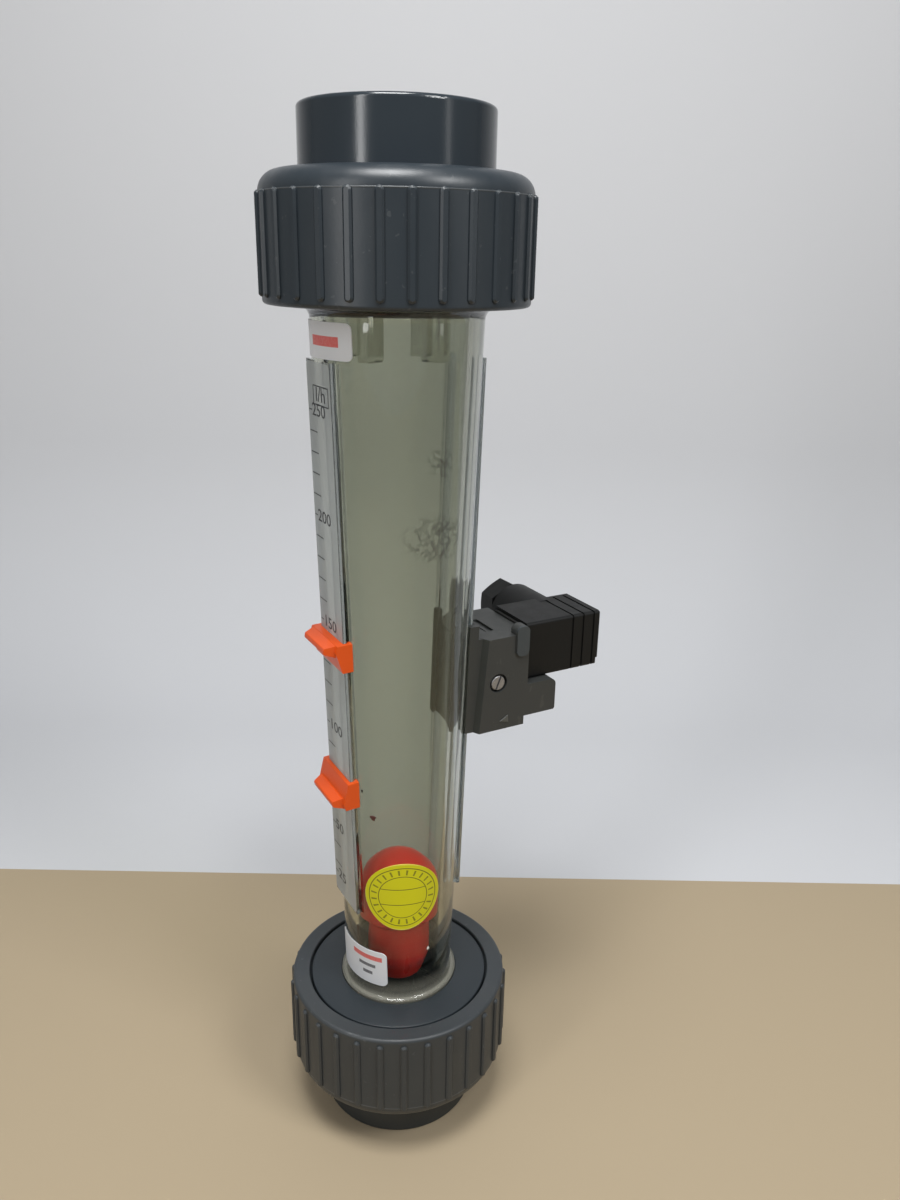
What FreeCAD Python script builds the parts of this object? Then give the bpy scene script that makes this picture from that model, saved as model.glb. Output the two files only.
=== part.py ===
"""Variable-area flow meter with a clear conical tube, union ends and a reed contact.

Millimetres, +Z up, origin on the tube axis at the mouth of the bottom union.
"""

import FreeCAD, Part
import math
import os

Vector = FreeCAD.Vector
Rotation = FreeCAD.Rotation
Placement = FreeCAD.Placement

os.makedirs("parts", exist_ok=True)

# ---------------------------------------------------------------- driving dimensions
# Overall
TUBE_LENGTH = 200.0  # between the two union faces
SOCKET_DEPTH = 22.0  # cement socket of a 32 mm pipe
SOCKET_WEB = 3.7
SOCKET_R = 16.1
PASSAGE_R = 13.0
END_LENGTH = SOCKET_DEPTH + SOCKET_WEB
TOTAL_HEIGHT = TUBE_LENGTH + 2 * END_LENGTH
TOP_FACE = END_LENGTH + TUBE_LENGTH

# Conical measuring tube: outside radius at a reference height, and growth per millimetre
CONE_REF_Z = END_LENGTH + 104.0
CONE_REF_R = 16.73
CONE_TAPER = 0.0297
WALL = 3.55
FOOT_FLARE_R = 1.4
HEAD_FLARE_R = 2.8
FLARE_LAND = 0.35

# Dovetail rails moulded on both sides of the tube
RAIL_PROUD = 0.12
RAIL_REF_D = CONE_REF_R + RAIL_PROUD
RAIL_TAPER = 0.0286
RAIL_Z0 = END_LENGTH + 38.6
RAIL_Z1 = TOP_FACE - 24.1
RAIL_HALF = 6.75
RAIL_ROOT_HALF = 5.7
RAIL_LAND = 0.7
RAIL_DEPTH = 1.9
RAIL_NOTCH_REACH = 9.6
RAIL_EDGE = 0.3

# Union end
END_R = 20.5
FLANGE_R = 22.2
FLANGE_LENGTH = 8.0
MOUTH_ROUND = 0.9
GROOVE_R0 = 17.4
GROOVE_R1 = 20.4
GROOVE_DEPTH = 2.5

# Threaded bush on the tube, pipe thread G 1 1/2 shown by its crest cylinder
BUSH_R = 23.75
BUSH_LENGTH = 12.6
BUSH_EDGE = 0.5
SPIGOT_R_LOW = 15.5
SPIGOT_R_HIGH = 20.4

# Union nut
NUT_LIP = 5.3
NUT_START = END_LENGTH - FLANGE_LENGTH - NUT_LIP
NUT_LENGTH = FLANGE_LENGTH + NUT_LIP + BUSH_LENGTH + 0.3
NUT_BODY_R = 28.8
NUT_FACE_R = NUT_BODY_R - 4.6
NUT_SHOULDER = 4.9
NUT_RIM = 0.9
NUT_MOUTH_R = BUSH_R + 0.55
NUT_MOUTH_DEPTH = 1.6
RIB_COUNT = 30
RIB_CREST_R = 29.5
RIB_WIDTH = 1.8
RIB_BEVEL = 0.42
RIB_INSET_CLOSED = 4.1
RIB_INSET_OPEN = 1.5
RIB_TURN_LOW = -5.1
RIB_TURN_HIGH = -2.2

# Float, stored resting on the lower stop
FLOAT_R = 10.6
FLOAT_Z0 = END_LENGTH + 13.2
FLOAT_FOOT_R = 6.2
FLOAT_SKIRT_R = 8.3
FLOAT_SKIRT_Z = FLOAT_Z0 + 6.4
FLOAT_BAND_Z0 = FLOAT_Z0 + 19.8
FLOAT_BAND_Z1 = FLOAT_Z0 + 29.3
FLOAT_TOP_Z = FLOAT_Z0 + 35.1
MAGNET_R = 4.5
MAGNET_Z0 = FLOAT_Z0 + 17.8
MAGNET_Z1 = MAGNET_Z0 + 12.0

# Float stops
STOP_RING = 2.5
STOP_HUB_R = 4.1
STOP_FIN = 2.6
STOP_LEGS = 4
STOP_TURN = -60.7
TOP_STOP_Z = TOP_FACE - 24.3
TOP_HUB_R = 5.4
TOP_HUB_DEPTH = 6.0
TOP_FIN_R0 = 7.0
TOP_FIN_R1 = 12.5

# Limit pointers
POINTER_HALF = 8.0
POINTER_HEIGHT = 6.8
POINTER_LIP = 0.9
POINTER_THIN = 1.0
POINTER_THICK = 2.4
FIN_OUT = 4.8
FIN_HALF_TIP = 5.7
FIN_HALF_ROOT = 7.3
LOWER_POINTER_Z = END_LENGTH + 70.5
UPPER_POINTER_Z = END_LENGTH + 106.6

# Reed contact housing
HOUSING_OUT = 31.5
HOUSING_HALF = 10.3
HOUSING_Z0 = END_LENGTH + 83.9
HOUSING_Z1 = HOUSING_Z0 + 25.0
CHAMFER_X_LOW = HOUSING_OUT - 13.9
CHAMFER_X_HIGH = HOUSING_OUT - 11.7
CHAMFER_RUN = 1.46
CHAMFER_RISE = 2.8
JAW_OUTER = 8.6
JAW_DEPTH = 4.0
TAB_RISE = 3.5
TAB_THICK = 0.7
FOOT_X0 = HOUSING_OUT - 0.8
FOOT_X1 = HOUSING_OUT + 8.7
FOOT_Z0 = HOUSING_Z0 + 2.3
FOOT_Z1 = FOOT_Z0 + 8.7
FOOT_ROUND = 1.6
SLOT_Z = 4.0
SLOT_X0 = HOUSING_OUT - 9.7
SLOT_WIDTH = 0.35
SLOT_Y0 = -4.6
SLOT_Y1 = 4.0
POCKET_X0 = HOUSING_OUT - 8.6
POCKET_X1 = HOUSING_OUT - 7.1
POCKET_Z = 0.6
BOSS_X0 = HOUSING_OUT - 4.0
BOSS_X1 = HOUSING_OUT - 0.4
BOSS_Z0 = HOUSING_Z1 - 5.6
BOSS_Z1 = HOUSING_Z1 + 2.3
BOSS_PROUD = 0.7
SCREW_X = HOUSING_OUT - 8.7
SCREW_Z = HOUSING_Z0 + 13.0
SCREW_HEAD_R = 1.9
SCREW_HEAD_H = 1.3
SCREW_SHANK_R = 1.0
SCREW_SHANK_L = 12.0
SCREW_SLOT = 0.5
SCREW_TURN = 68.0
RECESS_R = 2.5
RECESS_DEPTH = 1.4
REED_R = 1.6
REED_X = HOUSING_OUT - 11.7
REED_LENGTH = 18.0

# Angled device plug with a cable gland
PLUG_Z = HOUSING_Z0 + 18.8
PLUG_HALF = 7.85
PLUG_HALF_Z = 7.6
PLUG_X1 = HOUSING_OUT + 23.8
PLUG_CAP = 0.7
PLUG_WALL = 1.5
PLUG_EDGE = 0.8
PLUG_TOE = 0.9
PLUG_TOE_HEIGHT = 2.0
GASKET = 0.7
PIN_COUNT = 3
PIN_RADIUS = 3.6
PIN_WIDTH = 2.8
PIN_THICK = 0.8
PIN_LENGTH = 12.0
PIN_ROOT = 5.0
INSERT_LENGTH = 10.0
FIX_SCREW_R = 1.25
FIX_HEAD_R = 2.2
FIX_HEAD_H = 1.6
FIX_BITE = 3.5
FIX_SUNK = 0.3
GRIP_GROOVES = 3
GRIP_END = 2.3
GRIP_PITCH = 3.3
GRIP_WIDTH = 0.6
GRIP_DEPTH = 0.35
GRIP_STOP = 1.5
GLAND_X = HOUSING_OUT + 14.4
GLAND_Z = PLUG_Z + 0.35
GLAND_R = 7.4
GLAND_Y1 = 20.0
GLAND_BORE = 5.0
GLAND_THROAT = 3.8
GLAND_SEAL = 1.8
GLAND_SEAL_R = 6.1
GLAND_HEX = 12.0
GLAND_HEX_L = 6.3
CABLE_R = 2.75

# Labels
LABEL_THICK = 0.15
STICKER_R = 10.0
STICKER_TURN = -111.5
STICKER_Z = END_LENGTH + 45.4
LOW_LABEL = (-163.0, END_LENGTH + 16.9, END_LENGTH + 27.5, 71.0)
TOP_LABEL = (-174.5, TOP_FACE - 23.5, TOP_FACE - 15.9, 60.0)
LABEL_CORNER = 1.3

# Clearances
SEAT = 0.05  # cemented or clamped faces
RUN = 0.08  # running fit on the rails
GAP = 0.3  # free gap between bodies


# ---------------------------------------------------------------- drawing helpers
def rounded_edges(points, place):
    """Closed outline through (u, v, corner radius) points, mapped to space by place."""
    count = len(points)
    corners = []
    for i in range(count):
        u, v, r = points[i]
        here = Vector(u, v, 0)
        before = Vector(points[i - 1][0], points[i - 1][1], 0)
        after = Vector(points[(i + 1) % count][0], points[(i + 1) % count][1], 0)
        if r <= 0:
            corners.append((here, None, here))
            continue
        a = (before - here).normalize()
        b = (after - here).normalize()
        half = math.acos(max(-1.0, min(1.0, a.dot(b)))) / 2
        reach = r / math.tan(half)
        middle = here + (a + b).normalize() * (r / math.sin(half) - r)
        corners.append((here + a * reach, middle, here + b * reach))
    edges = []
    for i in range(count):
        start, middle, end = corners[i]
        if middle is not None:
            edges.append(Part.Arc(place(start), place(middle), place(end)).toShape())
        follow = corners[(i + 1) % count][0]
        if (follow - end).Length > 1e-6:
            edges.append(Part.LineSegment(place(end), place(follow)).toShape())
    return edges


def outline(points, place):
    """Planar face bounded by rounded_edges."""
    return Part.Face(Part.Wire(rounded_edges(points, place)))


def turned(points):
    """Solid of revolution about Z from (radius, height, corner radius) points."""
    face = outline(points, lambda p: Vector(p.x, 0, p.y))
    return face.revolve(Vector(0, 0, 0), Vector(0, 0, 1), 360)


def prism_z(points, z0, lift):
    """Extrusion of an XY outline from height z0 by the vector lift."""
    return outline(points, lambda p: Vector(p.x, p.y, z0)).extrude(lift)


def prism_y(points, y0, y1):
    """Extrusion of an XZ outline from y0 to y1."""
    return outline(points, lambda p: Vector(p.x, y0, p.y)).extrude(Vector(0, y1 - y0, 0))


def prism_x(points, x0, x1):
    """Extrusion of a YZ outline from x0 to x1."""
    return outline(points, lambda p: Vector(x0, p.x, p.y)).extrude(Vector(x1 - x0, 0, 0))


def block(x0, x1, y0, y1, z0, z1):
    """Axis-parallel box between two corners."""
    return Part.makeBox(x1 - x0, y1 - y0, z1 - z0, Vector(x0, y0, z0))


def rod(radius, start, axis, length):
    """Cylinder from a start point along an axis."""
    return Part.makeCylinder(radius, length, start, axis)


def polar(shape, count, start=0.0):
    """Equally spaced turned copies of a shape about the tube axis."""
    copies = []
    for i in range(count):
        copy = shape.copy()
        copy.rotate(Vector(0, 0, 0), Vector(0, 0, 1), start + i * 360.0 / count)
        copies.append(copy)
    return copies


def rectangle(u0, u1, v0, v1, r=0.0):
    """Corner list of a rectangle with one corner radius."""
    return [(u0, v0, r), (u1, v0, r), (u1, v1, r), (u0, v1, r)]


def flip_end(shape):
    """Copy of a bottom end piece placed at the top end."""
    return shape.mirror(Vector(0, 0, TOTAL_HEIGHT / 2), Vector(0, 0, 1))


# ---------------------------------------------------------------- tube geometry
def tube_r(z):
    """Outside radius of the cone at height z."""
    return CONE_REF_R + CONE_TAPER * (z - CONE_REF_Z)


def bore_r(z):
    """Inside radius of the cone at height z."""
    return tube_r(z) - WALL


def rail_d(z):
    """Distance of a rail's outer face from the axis at height z."""
    return RAIL_REF_D + RAIL_TAPER * (z - CONE_REF_Z)


RAIL_ANGLE = math.degrees(math.atan(RAIL_TAPER))
BUSH_Z = END_LENGTH + SEAT + BUSH_LENGTH
FLARE_Z = BUSH_Z + SEAT
TOP_FLARE_Z = TOTAL_HEIGHT - FLARE_Z
STOP_SEAT_LOW = PASSAGE_R + SEAT
STOP_SEAT_HIGH = bore_r(TOP_FACE) + 1.3


def flare(seat_z, sign, radius):
    """Ring that blends the cone into the face of a threaded bush."""
    top_z = seat_z + sign * (FLARE_LAND + radius)
    foot = tube_r(top_z)
    edge = foot + radius
    land_z = seat_z + sign * FLARE_LAND
    middle = Vector(edge - radius * math.sqrt(0.5), 0, top_z - sign * radius * math.sqrt(0.5))
    inner = foot - 1.0
    corners = [Vector(inner, 0, seat_z), Vector(edge, 0, seat_z), Vector(edge, 0, land_z)]
    edges = [Part.LineSegment(a, b).toShape() for a, b in zip(corners, corners[1:])]
    edges.append(Part.Arc(corners[-1], middle, Vector(foot, 0, top_z)).toShape())
    edges.append(Part.LineSegment(Vector(foot, 0, top_z), Vector(inner, 0, top_z)).toShape())
    edges.append(Part.LineSegment(Vector(inner, 0, top_z), corners[0]).toShape())
    face = Part.Face(Part.Wire(edges))
    return face.revolve(Vector(0, 0, 0), Vector(0, 0, 1), 360)


def rail_solids(side):
    """One rail block and its two undercut notches on the side given by +1 or -1."""
    lean = Vector(side * RAIL_TAPER * (RAIL_Z1 - RAIL_Z0), 0, RAIL_Z1 - RAIL_Z0)
    face_x = side * rail_d(RAIL_Z0)
    block_face = [
        (face_x, -RAIL_HALF, RAIL_EDGE),
        (face_x, RAIL_HALF, RAIL_EDGE),
        (face_x - side * 2.6, RAIL_HALF, 0),
        (face_x - side * 2.6, -RAIL_HALF, 0),
    ]
    rail = prism_z(block_face, RAIL_Z0, lean)
    notches = []
    for hand in (-1, 1):
        floor_x = face_x - side * RAIL_DEPTH
        land_x = face_x - side * RAIL_LAND
        notch = [
            (floor_x, hand * RAIL_ROOT_HALF, 0),
            (land_x, hand * RAIL_HALF, 0),
            (land_x, hand * RAIL_NOTCH_REACH, 0),
            (floor_x, hand * RAIL_NOTCH_REACH, 0),
        ]
        notches.append(prism_z(notch, RAIL_Z0, lean))
    return rail, notches


def measuring_tube():
    """Clear conical tube with flares, spigots and two dovetail rails."""
    z0 = END_LENGTH + SEAT
    z1 = TOP_FACE - SEAT
    body = turned([
        (0, z0, 0),
        (SPIGOT_R_LOW, z0, 0.4),
        (SPIGOT_R_LOW, FLARE_Z + 0.2, 0),
        (tube_r(FLARE_Z) + 0.5, FLARE_Z + 0.2, 0),
        (tube_r(FLARE_Z + 2), FLARE_Z + 2, 0),
        (tube_r(TOP_FLARE_Z - 2), TOP_FLARE_Z - 2, 0),
        (tube_r(TOP_FLARE_Z) + 0.5, TOP_FLARE_Z - 0.2, 0),
        (SPIGOT_R_HIGH, TOP_FLARE_Z - 0.2, 0),
        (SPIGOT_R_HIGH, z1, 0.4),
        (0, z1, 0),
    ])
    flares = [flare(FLARE_Z, 1, FOOT_FLARE_R), flare(TOP_FLARE_Z, -1, HEAD_FLARE_R)]
    rails = [rail_solids(side) for side in (-1, 1)]
    body = body.fuse(flares + [rail for rail, _ in rails])
    passage = turned([
        (0, z0 - 1, 0),
        (STOP_SEAT_LOW, z0 - 1, 0),
        (STOP_SEAT_LOW, z0 + STOP_RING + 2.0, 0),
        (bore_r(FLARE_Z + 4), FLARE_Z + 4, 0),
        (bore_r(z1), z1 - STOP_RING - SEAT, 0),
        (STOP_SEAT_HIGH, z1 - STOP_RING - SEAT, 0),
        (STOP_SEAT_HIGH, z1 + 1, 0),
        (0, z1 + 1, 0),
    ])
    body = body.cut(passage)
    body = body.cut([notch for _, notches in rails for notch in notches])
    return body.removeSplitter()


# ---------------------------------------------------------------- unions
def union_end():
    """Cement socket with a flange and a face groove, at the bottom."""
    shoulder = END_LENGTH - FLANGE_LENGTH
    return turned([
        (SOCKET_R, 0, 0),
        (END_R, 0, MOUTH_ROUND),
        (END_R, shoulder, 0.3),
        (FLANGE_R, shoulder, 0.3),
        (FLANGE_R, END_LENGTH, 0.3),
        (GROOVE_R1, END_LENGTH, 0),
        (GROOVE_R1, END_LENGTH - GROOVE_DEPTH, 0),
        (GROOVE_R0, END_LENGTH - GROOVE_DEPTH, 0),
        (GROOVE_R0, END_LENGTH, 0),
        (PASSAGE_R, END_LENGTH, 0.4),
        (PASSAGE_R, SOCKET_DEPTH, 0),
        (SOCKET_R, SOCKET_DEPTH, 0),
    ])


def o_ring():
    """Compressed O-ring in the union end's groove."""
    z0 = END_LENGTH - GROOVE_DEPTH + SEAT
    return turned(rectangle(GROOVE_R0 + SEAT, GROOVE_R1 - SEAT, z0, END_LENGTH, 1.1))


def threaded_bush(spigot_r):
    """Bush cemented on the tube's spigot, carrying the union thread."""
    bore = spigot_r + SEAT
    z0 = END_LENGTH + SEAT
    return turned([
        (bore, z0, 0),
        (BUSH_R, z0, 1.0),
        (BUSH_R, BUSH_Z, BUSH_EDGE),
        (bore, BUSH_Z, 0.15),
    ])


def nut_rib():
    """One grip rib of the union nut, rounded at both ends."""
    half = RIB_WIDTH / 2
    low = NUT_START + RIB_INSET_CLOSED
    high = NUT_START + NUT_LENGTH - RIB_INSET_OPEN
    face = rectangle(-half, half, low, high, half - 0.02)
    rib = prism_x(face, NUT_BODY_R - 1.0, RIB_CREST_R)
    rims = [e for e in rib.Edges if e.BoundBox.XMin > RIB_CREST_R - 0.01]
    return rib.makeChamfer(RIB_BEVEL, rims)


def union_nut(turn):
    """Cap nut with a lip behind the flange and grip ribs, the first at the given turn."""
    lip_z = END_LENGTH - FLANGE_LENGTH - SEAT
    thread_r = BUSH_R + 2 * SEAT
    lip_r = END_R + GAP
    open_z = NUT_START + NUT_LENGTH
    body = turned([
        (lip_r, NUT_START, 0.2),
        (NUT_FACE_R, NUT_START, 0),
        (NUT_BODY_R, NUT_START + 0.6, NUT_SHOULDER - 0.6),
        (NUT_BODY_R, open_z, NUT_RIM),
        (NUT_MOUTH_R + 0.2, open_z, 0),
        (NUT_MOUTH_R, open_z - 0.3, 0),
        (NUT_MOUTH_R, open_z - NUT_MOUTH_DEPTH, 0),
        (thread_r, open_z - NUT_MOUTH_DEPTH - 0.4, 0),
        (thread_r, lip_z, 0),
        (lip_r, lip_z, 0),
    ])
    return body.fuse(polar(nut_rib(), RIB_COUNT, turn)).removeSplitter()


# ---------------------------------------------------------------- float and stops
def float_body():
    """Domed float with a guide band, a slim skirt and a pocket for the magnet."""
    hull = turned([
        (0, FLOAT_Z0, 0),
        (FLOAT_FOOT_R, FLOAT_Z0, 1.2),
        (FLOAT_SKIRT_R, FLOAT_SKIRT_Z, 6.0),
        (FLOAT_SKIRT_R, FLOAT_BAND_Z0 - 2.4, 0.6),
        (FLOAT_R, FLOAT_BAND_Z0, 0.4),
        (FLOAT_R, FLOAT_BAND_Z1, 4.0),
        (5.2, FLOAT_TOP_Z, 9.0),
        (0, FLOAT_TOP_Z, 0),
    ])
    pocket = rod(MAGNET_R + SEAT, Vector(0, 0, FLOAT_Z0 - 1), Vector(0, 0, 1),
                 MAGNET_Z1 + SEAT - FLOAT_Z0 + 1)
    return hull.cut(pocket)


def float_magnet():
    """Bar magnet sealed in the float."""
    return rod(MAGNET_R, Vector(0, 0, MAGNET_Z0), Vector(0, 0, 1), MAGNET_Z1 - MAGNET_Z0)


def float_plug():
    """Weight and closing plug below the magnet."""
    return turned([
        (0, FLOAT_Z0, 0),
        (MAGNET_R, FLOAT_Z0, 0.4),
        (MAGNET_R, MAGNET_Z0 - SEAT, 0),
        (0, MAGNET_Z0 - SEAT, 0),
    ])


def bottom_stop():
    """Spider that the float rests on."""
    z0 = END_LENGTH + 2 * SEAT
    outer = STOP_SEAT_LOW - SEAT
    ring = turned(rectangle(outer - 2.0, outer, z0, z0 + STOP_RING, 0.2))
    hub_z = FLOAT_Z0 - 2 * SEAT
    hub = turned([(0, z0, 0), (STOP_HUB_R - 1.2, z0, 0), (STOP_HUB_R, z0 + 5, 0),
                  (STOP_HUB_R, hub_z, 0.8), (0, hub_z, 0)])
    arm = prism_y([(0, z0, 0), (outer - 1.0, z0, 0), (outer - 1.0, z0 + STOP_RING, 0),
                   (STOP_HUB_R, z0 + 7.5, 0), (0, z0 + 7.5, 0)], -STOP_FIN / 2, STOP_FIN / 2)
    return ring.fuse([hub] + polar(arm, STOP_LEGS, STOP_TURN)).removeSplitter()


def top_stop():
    """Ring with hanging fins that catch the rising float."""
    z1 = TOP_FACE - 2 * SEAT
    hub_z = z1 - TOP_HUB_DEPTH
    outer = STOP_SEAT_HIGH - SEAT
    ring = turned(rectangle(outer - 2.4, outer, z1 - STOP_RING, z1, 0.2))
    hub = turned([(0, hub_z, 0), (TOP_HUB_R, hub_z, 0), (TOP_HUB_R, z1, 0.8), (0, z1, 0)])
    fin = prism_y([(TOP_FIN_R0, TOP_STOP_Z, 0.6), (TOP_FIN_R1, TOP_STOP_Z, 0.6),
                   (TOP_FIN_R1, z1 - STOP_RING - 1, 0), (outer - 1.5, z1 - STOP_RING, 0),
                   (outer - 1.5, z1, 0), (TOP_HUB_R - 1, z1, 0), (TOP_HUB_R - 1, hub_z, 0),
                   (TOP_FIN_R0, hub_z, 0)], -STOP_FIN / 2, STOP_FIN / 2)
    return ring.fuse([hub] + polar(fin, STOP_LEGS, STOP_TURN)).removeSplitter()


# ---------------------------------------------------------------- pieces on the rails
def jaw(hand, outer, rise, height):
    """Hook that grips a rail: X out of the rail face, Y across, Z along the rail."""
    run = RAIL_DEPTH - RAIL_LAND
    drop = RAIL_HALF - RAIL_ROOT_HALF
    slant = math.hypot(run, drop)
    push_x = -RUN * drop / slant
    push_y = RUN * run / slant
    depth = RAIL_DEPTH - RUN
    share = (depth - RAIL_LAND + push_x) / run
    tip_y = RAIL_HALF + push_y - share * drop
    section = [
        (rise, hand * (RAIL_HALF + RUN), 0),
        (-RAIL_LAND, hand * (RAIL_HALF + RUN), 0),
        (-depth, hand * tip_y, 0),
        (-depth, hand * outer, 0.25),
        (rise, hand * outer, 0),
    ]
    return prism_z(section, 0, Vector(0, 0, height))


def on_rail(shape, side, z):
    """Place a piece drawn on a flat rail face onto the leaning rail at height z."""
    turn = Rotation(Vector(0, 1, 0), side * RAIL_ANGLE)
    if side < 0:
        turn = turn.multiply(Rotation(Vector(0, 0, 1), 180))
    placed = shape.copy()
    place = Placement(Vector(side * rail_d(z), 0, z), turn)
    placed.Placement = place.multiply(shape.Placement)
    return placed


def pointer():
    """Spring clip with a wedge plate and a slant-ended grip fin."""
    plate = prism_y([
        (RUN, 0, 0),
        (POINTER_THICK - 0.5, 0, 0),
        (POINTER_THICK, 1.6, 0),
        (POINTER_THIN, POINTER_HEIGHT, 0.3),
        (RUN, POINTER_HEIGHT, 0),
    ], -POINTER_HALF, POINTER_HALF)
    fin = prism_y([
        (RUN, 0, 0),
        (1.6, 0, 0),
        (FIN_OUT - 0.3, 0.7, 0.4),
        (FIN_OUT, 2.0, 0.6),
        (2.4, 2.9, 0),
        (RUN, 2.9, 0),
    ], -POINTER_HALF, POINTER_HALF)
    for hand in (-1, 1):
        corner = [
            (1.2, hand * FIN_HALF_ROOT, 0),
            (FIN_OUT + 0.4, hand * FIN_HALF_TIP, 0),
            (FIN_OUT + 0.4, hand * 12, 0),
            (1.2, hand * 12, 0),
        ]
        fin = fin.cut(prism_z(corner, -1, Vector(0, 0, POINTER_HEIGHT + 2)))
    jaws = [jaw(hand, POINTER_HALF, POINTER_LIP, POINTER_HEIGHT) for hand in (-1, 1)]
    return plate.fuse([fin] + jaws).removeSplitter()


def turned_over(shape, height):
    """The same clip with its fin at the top."""
    copy = shape.copy()
    copy.rotate(Vector(0, 0, height / 2), Vector(1, 0, 0), 180)
    return copy


# ---------------------------------------------------------------- reed contact
def pin_spots():
    """Centre of each contact blade in the plug face as (y, z, lies flat)."""
    return [(-PIN_RADIUS, PLUG_Z, False), (PIN_RADIUS, PLUG_Z, False),
            (0.0, PLUG_Z - PIN_RADIUS, True)]


def blades(grow, x0, x1):
    """The three contact blades, or their slots when grown."""
    solids = []
    for y, z, flat in pin_spots():
        half_y = (PIN_WIDTH if flat else PIN_THICK) / 2 + grow
        half_z = (PIN_THICK if flat else PIN_WIDTH) / 2 + grow
        solids.append(block(x0, x1, y - half_y, y + half_y, z - half_z, z + half_z))
    return solids


def housing_corner(hand):
    """Wedge that cuts the leaning chamfer off a rail-side corner."""
    grow = 1.2
    lean = Vector(CHAMFER_X_HIGH - CHAMFER_X_LOW, 0, HOUSING_Z1 - HOUSING_Z0)
    start = Vector(CHAMFER_X_LOW, 0, HOUSING_Z0) - lean * 0.1
    wedge = [
        (start.x + grow * CHAMFER_RUN, hand * (HOUSING_HALF + grow * CHAMFER_RISE), 0),
        (start.x - 3 * CHAMFER_RUN, hand * (HOUSING_HALF - 3 * CHAMFER_RISE), 0),
        (start.x - HOUSING_HALF, hand * (HOUSING_HALF - 3 * CHAMFER_RISE), 0),
        (start.x - HOUSING_HALF, hand * (HOUSING_HALF + grow * CHAMFER_RISE), 0),
    ]
    return prism_z(wedge, start.z, lean * 1.25)


def contact_housing():
    """Moulded contact body with rail jaws, slots, boss and a foot under the plug."""
    body = block(RAIL_REF_D - 2, HOUSING_OUT, -HOUSING_HALF, HOUSING_HALF,
                 HOUSING_Z0, HOUSING_Z1)
    step = block(FOOT_X0, HOUSING_OUT + 1, -HOUSING_HALF - 1, HOUSING_HALF + 1,
                 HOUSING_Z0 - 1, FOOT_Z0)
    height = HOUSING_Z1 - HOUSING_Z0
    wide = 1.4 * HOUSING_HALF
    face = on_rail(block(-wide, RUN, -wide, wide, -wide, height + wide), 1, HOUSING_Z0)
    body = body.cut([step, face, housing_corner(-1), housing_corner(1)])
    foot = prism_y([
        (FOOT_X0 - 1, FOOT_Z0, 0),
        (FOOT_X1, FOOT_Z0, 0.6),
        (FOOT_X1, FOOT_Z1, FOOT_ROUND),
        (FOOT_X0 - 1, FOOT_Z1, 0),
    ], -HOUSING_HALF, HOUSING_HALF)
    boss = prism_y(rectangle(BOSS_X0, BOSS_X1, BOSS_Z0, BOSS_Z1, 1.5),
                   -HOUSING_HALF - BOSS_PROUD, -HOUSING_HALF + 2.5)
    jaws = []
    for hand in (-1, 1):
        jaws.append(on_rail(jaw(hand, JAW_OUTER, JAW_DEPTH, height), 1, HOUSING_Z0))
        jaws.append(on_rail(jaw(hand, JAW_OUTER, TAB_THICK, height + TAB_RISE), 1, HOUSING_Z0))
    body = body.fuse([foot, boss] + jaws)
    slots = [
        block(SLOT_X0, SLOT_X0 + SLOT_WIDTH, SLOT_Y0, SLOT_Y1, HOUSING_Z1 - SLOT_Z, HOUSING_Z1 + 1),
        block(POCKET_X0, POCKET_X1, SLOT_Y0, SLOT_Y1, HOUSING_Z1 - POCKET_Z, HOUSING_Z1 + 1),
    ]
    recess = rod(RECESS_R, Vector(SCREW_X, -HOUSING_HALF - 1, SCREW_Z), Vector(0, 1, 0),
                 RECESS_DEPTH + 1)
    shank = rod(SCREW_SHANK_R + SEAT, Vector(SCREW_X, -HOUSING_HALF, SCREW_Z),
                Vector(0, 1, 0), RECESS_DEPTH + SCREW_SHANK_L + SEAT)
    chamber = rod(REED_R + SEAT, Vector(REED_X, 0, HOUSING_Z0 - 1), Vector(0, 0, 1),
                  REED_LENGTH + 2)
    fixing = rod(FIX_SCREW_R + SEAT, Vector(HOUSING_OUT - FIX_BITE - 0.5, 0, PLUG_Z),
                 Vector(1, 0, 0), FIX_BITE + 1.5)
    sockets = blades(SEAT, HOUSING_OUT - PIN_ROOT - SEAT, HOUSING_OUT + 1)
    body = body.cut(slots + [recess, shank, chamber, fixing] + sockets)
    return body.removeSplitter()


def reed_capsule():
    """Potted reed switch in its chamber."""
    return rod(REED_R, Vector(REED_X, 0, HOUSING_Z0 + 1 - SEAT), Vector(0, 0, 1), REED_LENGTH)


def slotted_screw(head_r, head_h, shank_r, shank_l, slot_turn=0.0):
    """Cheese-head screw along +Y, head underside at the origin."""
    head = turned([(0, 0, 0), (head_r, 0, 0), (head_r, head_h, 0.25), (0, head_h, 0)])
    shank = turned([(0, 0.1, 0), (shank_r, 0.1, 0), (shank_r, -shank_l, 0.3),
                    (0, -shank_l, 0)])
    screw = head.fuse(shank)
    slot = block(-head_r - 1, head_r + 1, -SCREW_SLOT / 2, SCREW_SLOT / 2,
                 head_h * 0.5, head_h + 1)
    slot.rotate(Vector(0, 0, 0), Vector(0, 0, 1), slot_turn)
    screw = screw.cut(slot)
    screw.rotate(Vector(0, 0, 0), Vector(1, 0, 0), 90)
    return screw


def clamp_screw():
    """Slotted screw in the housing's front recess."""
    screw = slotted_screw(SCREW_HEAD_R, SCREW_HEAD_H, SCREW_SHANK_R, SCREW_SHANK_L, SCREW_TURN)
    screw.translate(Vector(SCREW_X, -HOUSING_HALF + RECESS_DEPTH - SEAT, SCREW_Z))
    return screw


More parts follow.
